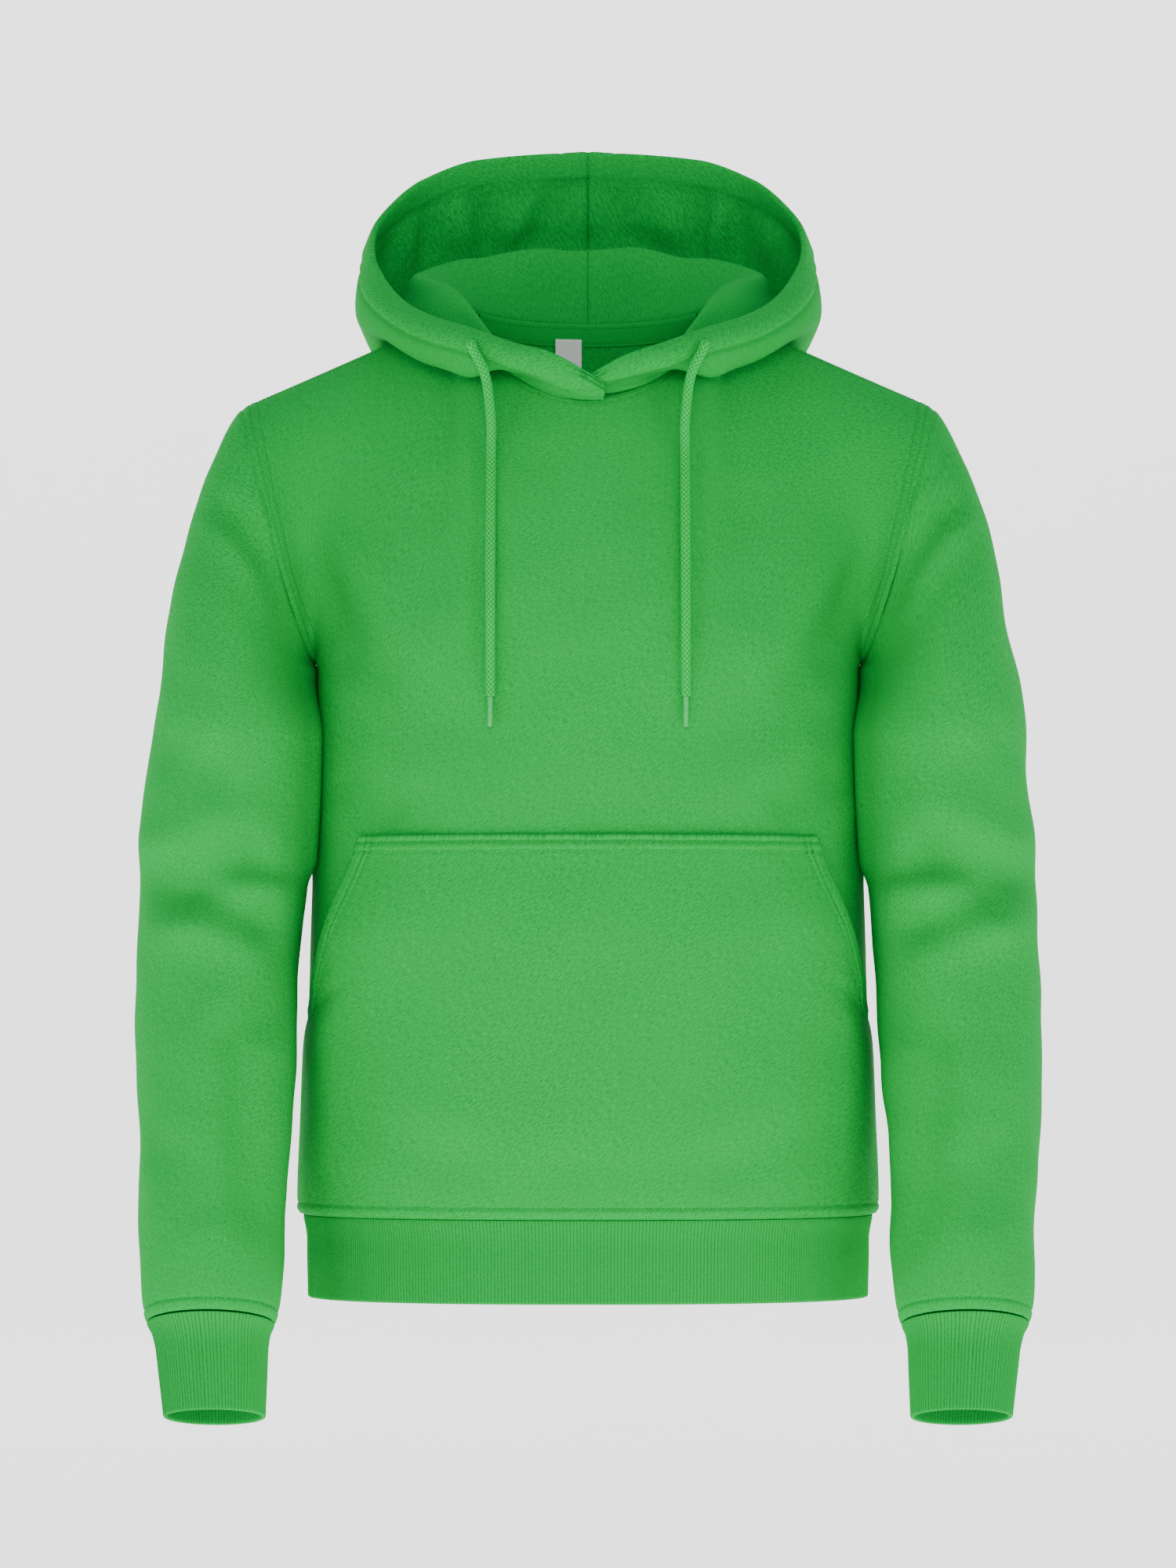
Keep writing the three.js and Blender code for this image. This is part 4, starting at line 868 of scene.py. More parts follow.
def body_grid(rise):
    side = graded(BODY_HALF, 3.1, far=True)
    half = side / BODY_HALF
    turns = np.concatenate([-half[::-1], half[1:]])
    if rise["face"] > 0:
        turns = -turns
    low = graded(BODY_LOWER, 3.6, close=True) / BODY_LOWER
    top = 1 + graded(BODY_UPPER, 3.0, far=True) / BODY_UPPER
    heights = np.concatenate([low, top[1:]])
    return turns, heights, panel_point(rise, turns[None, :], heights[:, None])


def body_relief(base, heights, turns, face):
    """How far the cloth stands out of its plain form."""
    across = arc(base, 1)
    side = np.minimum(across, across[:, -1:] - across)
    up = arc(base, 0)
    from_hem, from_top = up, up[-1:] - up
    armhole = ease(0.99, 1.02, heights)[:, None]
    at_neck = 1 - ease(NECK_SHARE - 0.01, NECK_SHARE + 0.03, np.abs(turns))[None, :]
    relief = groove(side) + stitched(side) * armhole
    relief += groove(from_top) + groove(from_hem, 0.9, 1.5)
    relief += stitched(from_top, (5.0,)) * at_neck + stitched(from_top, TWIN) * (1 - at_neck)
    # The band above the hem seam stands proud over its turned-in edges, up to a line of stitches
    band = ease(0.4, 2.5, from_hem) * (1 - ease(5.0, 6.8, from_hem))
    relief += 0.9 * band + stitched(from_hem, (HEM_STITCH,), 0.6, 1.0)
    # Small puckers along that line and the hem seam
    gather = np.exp(-(((from_hem - 9) / 9) ** 2))
    relief += 0.28 * gather * np.sin(across / 5.1 + 1.3 * np.sin(across / 17)) * ease(4, 9, from_hem)
    free = ease(6, 40, side) * ease(10, 50, from_hem) * ease(10, 45, from_top)
    # Where the sleeve lies against it, the cloth meets the sleeve
    z = base[..., 2]
    touching = (1 - ease(24, 58, side)) * ease(*CONTACT_LOW, z) * (1 - ease(*CONTACT_HIGH, z))
    return relief * (1 - touching) + CONTACT_RISE * touching, free * (1 - touching), touching


def body_stitches(name, grid, faced, heights, turns):
    across, up = arc(grid, 1), arc(grid, 0)
    low, top = np.searchsorted(heights, 1.03), up[-1:] - up
    lines = []
    for line in TWIN:
        for turned in (slice(None), slice(None, None, -1)):
            from_side = across if turned == slice(None) else across[:, -1:] - across
            pick = lambda part: part[low:-6, turned]
            lines.append(traced(pick(from_side), line, pick(grid), pick(faced)))
    shoulders = (turns < -NECK_SHARE - 0.01, turns > NECK_SHARE + 0.01)
    neck = np.abs(turns) < NECK_SHARE - 0.01
    for line, columns in [(line, shoulder) for line in TWIN for shoulder in shoulders] + [(TWIN[0], neck)]:
        pick = lambda part: part[::-1][:, columns].swapaxes(0, 1)
        lines.append(traced(pick(top), line, pick(grid), pick(faced)))
    lines.append(traced(up.T, HEM_STITCH, grid.swapaxes(0, 1), faced.swapaxes(0, 1)))
    return stitch_rows(name, lines, "fleece")


def body_panel(label, rise, creases, uneven, seed):
    turns, heights, base = body_grid(rise)
    normals = grid_normals(base)
    relief, free, touching = body_relief(base, heights, turns, rise["face"])
    for path, width, depth in both_sides(creases, uneven):
        relief = relief + crease(base, path, width, depth) * (0.25 + 0.75 * free) * (1 - touching)
    relief = relief + swell(base, seed, 150, 1.4) * free + swell(base, seed + 1, 60, 0.5) * free
    outer = base + normals * relief[..., None]
    faced = grid_normals(outer)
    inner = outer - faced * FLEECE_WALL
    piece = wall(label + "_cloth", outer, inner, FLEECE)
    body_stitches(label + "_stitches", outer, faced, heights, turns)
    declare_cut(piece, outer, "draped", rows=heights <= 1)
    return dress(piece, "fleece", "body_" + label)


body_panel("front", FRONT_RISE, FRONT_CREASES, 0.4, 3)
body_panel("back", BACK_RISE, BACK_CREASES, 1.7, 8)


# Sleeves
CAP_PULL = {
    "top": (28, 0, -30),
    "front": (24, -14, -30),
    "armpit": (1.5, 0, -14),
    "back": (24, 14, -30),
}
CAP_END_PULL = 0.3
SLEEVE_BODY_GAP = 1.4

# Creases of the left sleeve, as paths of (x, z) with a width and a depth
SLEEVE_FRONT_CREASES = [
    ([(257, -130), (229, -160), (208, -188), (198, -214), (194, -236)], 9, 8.0),
    ([(316, -404), (280, -398), (243, -386), (212, -377), (186, -374)], 16, 8.5),
    ([(286, -402), (252, -412), (226, -422), (200, -432)], 12, 7.5),
    ([(190, -462), (212, -482), (231, -507), (228, -570), (219, -650)], 14, 5.0),
    ([(292, -300), (262, -318), (232, -322)], 16, 2.4),
    ([(284, -560), (262, -590), (250, -632)], 16, 2.4),
]
SLEEVE_BACK_CREASES = [
    ([(262, -148), (240, -172), (222, -196), (206, -226)], 12, 6.0),
    ([(300, -396), (262, -386), (226, -380), (196, -384)], 14, 6.5),
    ([(296, -430), (258, -436), (214, -426)], 13, 4.6),
    ([(286, -560), (256, -592), (228, -640)], 16, 4.0),
]


def body_side_x(y, z):
    section = read_table(BODY_SECTIONS, "z", np.clip(z, HEM_SEAM_Z, ARMPIT_Z))
    depth = np.where(y < 0, section["front"], section["back"])
    share = np.minimum(np.abs(y) / depth, 1)
    return section["halfWidth"] * (1 - share**BODY_SQUARENESS) ** (1 / BODY_SQUARENESS)


def ring_points(rings, z, angle):
    """Points of leaning rings, which stand at the given heights of their table."""
    ring = read_table(rings, "z", z)
    lean = np.radians(ring["lean"])
    across = ring["across"] * np.cos(np.radians(angle))
    deep = -ring["deep"] * np.sin(np.radians(angle))
    return np.stack(
        np.broadcast_arrays(ring["x"] + across, ring["y"] + deep * np.cos(lean), z - deep * np.sin(lean)), -1
    )


def clear_of_body(p):
    z = p[..., 2]
    nearest = body_side_x(p[..., 1], z) + SLEEVE_BODY_GAP * ease(0, 30, ARMPIT_Z - z)
    apart = p[..., 0] - nearest
    pushed = nearest + 0.5 * (apart + np.sqrt(apart**2 + 4.0))
    out = p.copy()
    out[..., 0] = np.where(z > ARMPIT_Z, p[..., 0], pushed)
    return out


def sleeve_grid():
    angle = np.arange(0, 360, 2.5)
    front = angle <= 180
    height = np.where(front, 2 - angle / 180, 1 + (angle - 180) / 180)
    on_front = panel_point(FRONT_RISE, 1.0, height)
    on_back = panel_point(BACK_RISE, 1.0, height)
    start = np.where(front[:, None], on_front, on_back)
    round_ = np.cos(np.radians(angle))[:, None]
    side = np.sin(np.radians(angle))[:, None]
    pull = np.where(round_ > 0, CAP_PULL["top"], CAP_PULL["armpit"]) * np.abs(round_)
    pull = pull + np.where(side > 0, CAP_PULL["front"], CAP_PULL["back"]) * np.abs(side)
    end = ring_points(SLEEVE_RINGS, np.full(angle.shape, -300.0), angle)
    rise = CAP_END_PULL * np.linalg.norm(end - start, axis=1, keepdims=True)
    before = end + np.concatenate([-0.08 * rise * np.maximum(round_, 0), 0 * rise, rise], 1)
    cap = graded(150, 3.2, close=True) / 150
    made = bezier(start[None], (start + pull)[None], before[None], end[None], np.repeat(cap[:, None], len(angle), 1))
    made[1:] = clear_of_body(made[1:])
    low = -300 - graded(393, 3.6, far=True)[1:]
    rings = clear_of_body(ring_points(SLEEVE_RINGS, low[:, None], angle[None, :]))
    return angle, np.concatenate([made, rings])


def sleeve(label, side, uneven, seed):
    angle, base = sleeve_grid()
    base = np.concatenate([base[:1], smooth(base, True, 2)[1:]])
    normals = grid_normals(base, True)
    up = arc(base, 0)
    from_cap, from_cuff = up, up[-1:] - up
    relief = groove(from_cap, 1.5, 2.6) + groove(from_cuff, 0.5, 1.5)
    band = ease(0.4, 2.5, from_cuff) * (1 - ease(6.2, 8.0, from_cuff))
    relief += 0.6 * band + stitched(from_cuff, (CUFF_STITCH,), 0.8, 1.0)
    gather = np.exp(-(((from_cuff - 11) / 10) ** 2)) * ease(5, 10, from_cuff)
    relief += 0.3 * gather * np.sin(np.radians(angle) * 34 + 1.2 * np.sin(np.radians(angle) * 5))[None]
    # The seam under the arm
    seam = np.minimum(np.abs(angle - 186), 20)[None] * 0.9
    relief += groove(seam, 0.8, 2.5) * ease(0, 20, from_cap)
    free = ease(8, 50, from_cap) * ease(14, 50, from_cuff)
    facing = np.sin(np.radians(angle))[None]
    for sign, creases in ((1, SLEEVE_FRONT_CREASES), (-1, SLEEVE_BACK_CREASES)):
        on_face = ease(-0.1, 0.45, sign * facing) * (0.3 + 0.7 * free)
        for k, (path, width, depth) in enumerate(creases):
            shift = 3 * math.sin(uneven + 1.9 * k)
            moved = [(x, z + shift) for x, z in path]
            relief += crease(base, moved, width, depth * (1 + 0.1 * math.cos(uneven + k))) * on_face
    relief = relief + swell(base, seed, 110, 1.3) * free + swell(base, seed + 1, 48, 0.5) * free
    # Where it lies against the body, the cloth meets the body
    inward = (ease(108, 136, angle) * (1 - ease(214, 242, angle)))[None]
    z = base[..., 2]
    touching = inward * ease(*CONTACT_LOW, z) * (1 - ease(*CONTACT_HIGH, z))
    relief = relief * (1 - touching) + CONTACT_RISE * touching
    outer = base + normals * relief[..., None]
    apart = np.maximum(outer[..., 0] - body_side_x(outer[..., 1], outer[..., 2]) - 1.5 * CONTACT_RISE, 0)
    outer[..., 0] -= apart * touching * np.exp(-((apart / CONTACT_REACH) ** 2))
    faced = grid_normals(outer, True)
    inner = outer - faced * FLEECE_WALL
    flip = np.array([side, 1, 1])
    if side < 0:
        outer, inner, faced = outer[:, ::-1] * flip, inner[:, ::-1] * flip, faced[:, ::-1] * flip
    piece = wall("sleeve_" + label + "_cloth", outer, inner, FLEECE, closed=True)
    dress(piece, "fleece", "sleeve_" + label)
    declare_cut(piece, outer, "hung", closed=True)
    up = arc(outer, 0)
    from_cuff = (up[-1:] - up)[::-1].T
    line = traced(from_cuff, CUFF_STITCH, outer[::-1].swapaxes(0, 1), faced[::-1].swapaxes(0, 1))
    stitch_rows("sleeve_" + label + "_stitches", [line], "fleece")


sleeve("left", 1, 0.7, 21)
sleeve("right", -1, 2.9, 34)


# Ribbed bands
def ribbed(name, points_of, ribs, rows, slot, node, depth, mirror=1, turned=False):
    """A rib knit band: points_of(share down, share round, outward) gives its places."""
    columns = ribs * 4
    share = np.arange(columns) / columns
    # Real ribs wander a little
    phase = ribs * share + 0.12 * np.sin(2 * math.pi * share * 7) + 0.08 * np.sin(2 * math.pi * share * 23)
    ridge = np.abs(np.sin(math.pi * phase)) ** 0.8
    down = np.asarray(rows)
    end = np.minimum(ease(0, 0.04, down), 1)
    out = depth * (ridge[None] - 0.6) * (0.35 + 0.65 * end[:, None])
    outer = points_of(down[:, None], share[None, :], out)
    inner = points_of(down[:, None], share[None, :], -RIB_WALL + depth * 0.6 * (0.4 - ridge[None]) + 0 * down[:, None])
    if turned:
        outer, inner = outer[:, ::-1], inner[:, ::-1]
    if mirror < 0:
        flip = np.array([-1, 1, 1])
        outer, inner = outer[:, ::-1] * flip, inner[:, ::-1] * flip
    round_ = np.append(phase, phase[0] + ribs)
    if turned or mirror < 0:
        round_ = round_[::-1]
    fall = arc(outer, 0).mean(1)
    uv = np.stack(np.meshgrid(round_, fall), -1)
    piece = wall(name, outer, inner, RIB, closed=True, rounded=("high",), uv=uv)
    dress(piece, slot, node)
    plain = points_of(down[:, None], share[None, :], np.zeros_like(out))
    declare_cut(piece, plain, "stretched", closed=True)


def cuff_points(down, share, out):
    z = CUFF_RINGS["z"][0] + (CUFF_RINGS["z"][-1] - CUFF_RINGS["z"][0]) * down
    ring = read_table(CUFF_RINGS, "z", z)
    # The band springs in under the gathered sleeve
    out = out + 0.5 * bump(down, 0.5, 0.3) + 1.5 * (1 - ease(0, 0.12, down))
    lean = np.radians(ring["lean"])
    angle = np.radians(360 * share)
    across = (ring["across"] + out) * np.cos(angle)
    deep = -(ring["deep"] + out) * np.sin(angle)
    return np.stack(
        np.broadcast_arrays(ring["x"] + across, ring["y"] + deep * np.cos(lean), z - deep * np.sin(lean)), -1
    )


def hem_points(down, share, out):
    z = HEM_SECTIONS["z"][0] + (HEM_SECTIONS["z"][-1] - HEM_SECTIONS["z"][0]) * down
    ring = read_table(HEM_SECTIONS, "z", z)
    out = out + 0.4 * bump(down, 0.5, 0.3) - 0.3 * (1 - ease(0, 0.05, down))
    grown = {name: ring[name] + out for name in ("halfWidth", "front", "back")}
    grown["z"] = z * np.ones_like(out)
    turn = 4 * share * np.ones_like(out)
    front = (turn <= 1) | (turn > 3)
    front_turn = np.where(turn > 2, turn - 4, turn)
    on_front = section_point(grown, np.clip(front_turn, -1, 1), -1)
    on_back = section_point(grown, np.clip(2 - turn, -1, 1), 1)
    return np.where(front[..., None], on_front, on_back)


BAND_ROWS = np.concatenate([[0, 0.015, 0.035, 0.06, 0.1], np.linspace(0.16, 0.96, 9), [1.0]])
for label, side in (("left", 1), ("right", -1)):
    ribbed("cuff_" + label + "_rib", cuff_points, 95, BAND_ROWS, "rib_knit", "cuff_" + label, 0.62, side)
ribbed("hem_rib", hem_points, 530, BAND_ROWS, "rib_knit", "hem_band", 0.62, turned=True)


# Pocket, laid on the front panel
POCKET_TOP_Z = -371.0
POCKET_TOP_HALF = 151.5
POCKET_SLOPE = 0.31
POCKET_SIDE_TURN = 0.955
POCKET_SLANT_END_Z = -492.0
POCKET_BOTTOM_Z = -623.0
POCKET_SEAT = 0.8
POCKET_LIFT = {"middle": 6.0, "openings": 10.0}
POCKET_HEM_WIDTH = 7.6
POCKET_HEM_EXTRA = 2.0
POCKET_TOP_STITCHES = (1.8, 7.6)
# The facing of the openings widens downwards, and so do the lines that hold it
POCKET_SIDE_STITCHES = (6.0, 10.5)
POCKET_SIDE_WIDENS = 7.0


def pocket_grid():
    up = graded(252, 3.0, close=True, far=True) / 252
    z = POCKET_BOTTOM_Z + (POCKET_TOP_Z - POCKET_BOTTOM_Z) * up
    level = (z - HEM_SEAM_Z) / (ARMPIT_Z - HEM_SEAM_Z)
    slant = np.clip((z - POCKET_SLANT_END_Z) / (POCKET_TOP_Z - POCKET_SLANT_END_Z), 0, 1)
    reach = POCKET_TOP_HALF + POCKET_SLOPE * (POCKET_TOP_Z - z)
    edge = []
    for x, h in zip(reach, level):
        found = halve(0.0, 1.0, lambda t: panel_point(FRONT_RISE, t, h)[0] < x, 24)
        edge.append(min(POCKET_SIDE_TURN, found))
    # The opening's slant runs softly into the side seam
    edge = np.convolve(np.pad(edge, 4, mode="edge"), np.ones(9) / 9, mode="valid")
    half = graded(170, 3.0, far=True) / 170
    across = np.concatenate([-half[::-1], half[1:]])
    turn = edge[:, None] * np.sign(across) * np.abs(across)
    level = np.repeat(level[:, None], len(across), 1)
    point = panel_point(FRONT_RISE, turn, level)
    ahead = panel_point(FRONT_RISE, turn + 0.004, level) - panel_point(FRONT_RISE, turn - 0.004, level)
    above = panel_point(FRONT_RISE, turn, level + 0.004) - point
    out = unit(np.cross(ahead, above))
    from_side = (1 - np.abs(across))[None, :]
    open_ = (ease(0, 0.25, slant) * ease(0, 0.25, 1 - slant))[:, None]
    free = np.maximum(ease(0, 0.3, from_side), open_)
    raised = free * (ease(0, 0.3, up) * ease(0, 0.28, 1 - up))[:, None] * np.minimum(1, 2.2 * out[..., 1] ** 2)
    height = POCKET_LIFT["openings"] + (POCKET_LIFT["middle"] - POCKET_LIFT["openings"]) * ease(0.15, 0.5, from_side)
    return up, slant, across, point, out, POCKET_SEAT + height * raised


def pocket():
    up, slant, across, point, out, lift = pocket_grid()
    plain = point + out * (lift + FLEECE_WALL)[..., None]
    along = arc(plain, 1)
    side = np.minimum(along, along[:, -1:] - along)
    z = point[..., 2]
    from_top = POCKET_TOP_Z - z
    from_low = arc(plain, 0)
    slanted = ease(0, 0.06, slant)[:, None]
    # Distance square to the slanted edge
    side = side * (1 - slanted * (1 - 1 / math.hypot(1, POCKET_SLOPE)))
    hem_top = 1 - ease(POCKET_HEM_WIDTH - 1, POCKET_HEM_WIDTH + 1.5, from_top)
    facing = side - POCKET_SIDE_WIDENS * (1 - slant[:, None])
    hem_side = (1 - ease(POCKET_SIDE_STITCHES[1], POCKET_SIDE_STITCHES[1] + 3, facing)) * slanted
    relief = np.maximum(POCKET_HEM_EXTRA * hem_top, 0.5 * POCKET_HEM_EXTRA * hem_side)
    relief += stitched(from_top, POCKET_TOP_STITCHES, 1.7, 1.0)
    relief += stitched(facing, POCKET_SIDE_STITCHES, 1.5, 1.1) * slanted
    relief += groove(side, 1.2, 2.2) * (1 - slanted) + groove(from_low, 1.0, 2.2)
    band = ease(0.4, 2.5, from_low) * (1 - ease(5.0, 6.8, from_low))
    relief += 0.7 * band + stitched(from_low, (HEM_STITCH,), 0.6, 1.0)
    gather = np.exp(-(((from_low - 9) / 9) ** 2)) * ease(4, 9, from_low)
    relief += 0.25 * gather * np.sin(along / 5.1 + 1.1)
    free = ease(10, 34, side) * ease(8, 40, from_low) * ease(12, 40, from_top)
    for path, width, depth in (
        ([(186, -540), (150, -566), (96, -590), (60, -600)], 15, 2.0),
        ([(160, -420), (120, -470), (96, -520)], 20, 1.2),
        ([(-160, -430), (-126, -476), (-88, -512)], 20, 1.2),
        ([(-186, -536), (-144, -562), (-100, -584), (-50, -598)], 15, 2.0),
        ([(-60, -596), (0, -590), (70, -598)], 12, 0.8),
    ):
        relief = relief + crease(point, path, width, depth) * (0.2 + 0.8 * free)
    relief = relief + swell(point, 50, 120, 0.8) * free + swell(point, 51, 46, 0.3) * free
    outer = plain + out * relief[..., None]
    faced = grid_normals(outer)
    inner = outer - faced * (FLEECE_WALL + np.maximum(hem_top, hem_side)[..., None] * POCKET_HEM_EXTRA)
    uv = np.stack([point[..., 0] + 0 * z, z], -1)
    piece = wall("pocket_cloth", outer, inner, FLEECE, rounded=("high", "left", "right"), uv=uv)
    dress(piece, "fleece", "pocket")
    half = outer.shape[1] // 2
    declare_cut(piece, outer, "draped", columns=[half])
    turned = lambda part: part[::-1].swapaxes(0, 1)
    lines = [traced(turned(from_top), line, turned(outer), turned(faced)) for line in POCKET_TOP_STITCHES]
    open_rows = slant > 0.03
    for line in POCKET_SIDE_STITCHES:
        for columns in (slice(0, half), slice(None, half, -1)):
            pick = lambda part: part[open_rows][:, columns]
            lines.append(traced(pick(facing), line, pick(outer), pick(faced)))
    lines.append(traced(from_low.T, HEM_STITCH, outer.swapaxes(0, 1), faced.swapaxes(0, 1)))
    stitch_rows("pocket_stitches", lines, "fleece")


pocket()


# Hood
HOOD_OVERLAP_ANGLE = 6.0
HOOD_OVER_SHIFT = 2.7
HOOD_UNDER_SHIFT = -2.4
HOOD_SEAT = 1.0
HOOD_FRONT_RISE = 1.0
HOOD_FRONT_DROP = 2.0
HOOD_REST_GAP = 0.6
HOOD_STAND = 4.0
TUNNEL_WIDTH = 19.0
TUNNEL_EXTRA = 1.5
HOOD_PLACES = ("crest", "fall", "bottom", "bulge", "upper", "rim")
PART_STEPS = 12
TUNNEL_STEPS = 22


def hood_section(neck_angle):
    neck = neck_point(abs(neck_angle))
    angle = neck_angle if neck_angle < 0 else math.degrees(math.atan2(neck[0], NECK_CENTRE_Y - neck[1]))
    row = read_table(HOOD_SECTIONS, "angle", np.array([angle]))
    row = {name: float(value[0]) for name, value in row.items()}
    radius = math.hypot(neck[0], neck[1] - NECK_CENTRE_Y)
    stand = min(HOOD_STAND, 0.35 * math.hypot(row["crestR"] - radius, row["crestZ"] - neck[2]))
    points = [(radius, neck[2]), (radius + 0.1 * stand, neck[2] + stand)]
    points += [(row[name + "R"], row[name + "Z"]) for name in HOOD_PLACES]
    p = np.array(points)
    p = np.concatenate([2 * p[:1] - p[1:2], p, 2 * p[-1:] - p[-2:-1]])
    t = np.linspace(0, 1, 401) * 7
    i = np.minimum(t.astype(int), 6)
    u = (t - i)[:, None]
    a, b, c, d = p[i], p[i + 1], p[i + 2], p[i + 3]
    d0, d1, d2 = (np.maximum(np.linalg.norm(w - v, axis=1, keepdims=True) ** 0.5, 1e-4) for v, w in ((a, b), (b, c), (c, d)))
    t1 = ((b - a) / d0 - (c - a) / (d0 + d1) + (c - b) / d1) * d1
    t2 = ((c - b) / d1 - (d - b) / (d1 + d2) + (d - c) / d2) * d1
    curve = (2 * u**3 - 3 * u**2 + 1) * b + (u**3 - 2 * u**2 + u) * t1 + (3 * u**2 - 2 * u**3) * c + (u**3 - u**2) * t2
    along = arc(curve, 0)
    length = along[-1]
    tunnel = min(TUNNEL_WIDTH, 0.8 * length)
    at = lambda distance: np.interp(distance, along, np.linspace(0, 1, 401))
    tunnel_at = at(length - tunnel)
    squeeze = min(1, 0.985 * tunnel_at / (6 / 7))
    first = np.concatenate([np.linspace(0, 1, 9)[:-1], np.linspace(1, 6, 5 * PART_STEPS + 1)])
    places = list(first / 7 * squeeze)
    places += [places[-1] + (tunnel_at - places[-1]) * k / 4 for k in range(1, 5)]
    places += [float(at(length - tunnel * (1 - k / TUNNEL_STEPS))) for k in range(1, TUNNEL_STEPS + 1)]
    places = np.minimum(np.array(places), 1)
    share = np.linspace(0, 1, 401)
    flat = np.stack([np.interp(places, share, curve[:, k]) for k in range(2)], 1)
    distance = np.interp(places, share, along)
    full = float(ease(8, 34, angle))
    into = np.clip(1 - (length - distance) / tunnel, 0, 1)
    puff = np.sqrt(np.clip(1 - (2 * into - 1) ** 2, 0, 1))
    half = HOOD_WALL / 2 + TUNNEL_EXTRA * full * puff * (into > 0)
    a = math.radians(angle)
    solid = np.stack([flat[:, 0] * math.sin(a), NECK_CENTRE_Y - flat[:, 0] * math.cos(a), flat[:, 1]], 1)
    return angle, solid, half, distance, length, into * (into > 0), full


def panel_samples():
    found = []
    for rise in (FRONT_RISE, BACK_RISE):
        height = np.arange(1.2, 2.0005, 0.01)[:, None]
        turn = np.arange(-0.16, 0.98, 0.01)[None, :]
        point = panel_point(rise, turn, height)
        ahead = panel_point(rise, turn + 0.004, height) - panel_point(rise, turn - 0.004, height)
        above = point - panel_point(rise, turn, height - 0.004)
        out = unit(np.cross(ahead, above) * -rise["face"])
        found.append((point.reshape(-1, 3), out.reshape(-1, 3)))
    return np.concatenate([f[0] for f in found]), np.concatenate([f[1] for f in found])


sample_points, sample_outs = panel_samples()
sample_tree = kdtree.KDTree(len(sample_points))
for k, p in enumerate(sample_points):
    sample_tree.insert(Vector(p), k)
sample_tree.balance()


def clear_of_panels(points, clearance):
    moved = points.copy()
    for k, p in enumerate(points.reshape(-1, 3)):
        _, n, far = sample_tree.find(Vector(p))
        if far > 30:
            continue
        off = float((p - sample_points[n]) @ sample_outs[n])
        need = clearance.reshape(-1)[k]
        if off < need:
            moved.reshape(-1, 3)[k] = p + sample_outs[n] * (need - off)
    return moved


# Soft folds of the hood: angle round the neck and its half width, distance up from the neck seam as a
# share of the section and its half length, and depth. The inner faces of the bag show from the front.
HOOD_FOLDS = """
    angle spread share length depth slope
    153   2.6    0.885 0.055  8.0   -40
    147   2.6    0.885 0.055  -8.0  -40
    141   3.0    0.87  0.05   6.0   -30
    134   4.0    0.88  0.05   -5.0  -20
    160   2.8    0.89  0.045  -6.0  60
    165   2.6    0.875 0.03   5.5   70
    172   3.0    0.90  0.035  4.5   30
    126   4.5    0.87  0.05   4.0   0
    114   5.0    0.86  0.06   -3.6  0
    170   8.0    0.862 0.010  5.5   0
    163   9.0    0.885 0.012  -4.5  0
    168   9.0    0.925 0.010  3.6   0
    160   9      0.12  0.05   -2.4  20
    142   7      0.13  0.05   2.4   -20
    172   6      0.20  0.04   2.0   0
    86    6      0.64  0.12   3.0   16
    62    6      0.55  0.12   -2.6  -16
    48    5      0.62  0.10   2.4   12
    36    6      0.50  0.08   -2.2  0
"""
HOOD_FOLDS = table(HOOD_FOLDS)


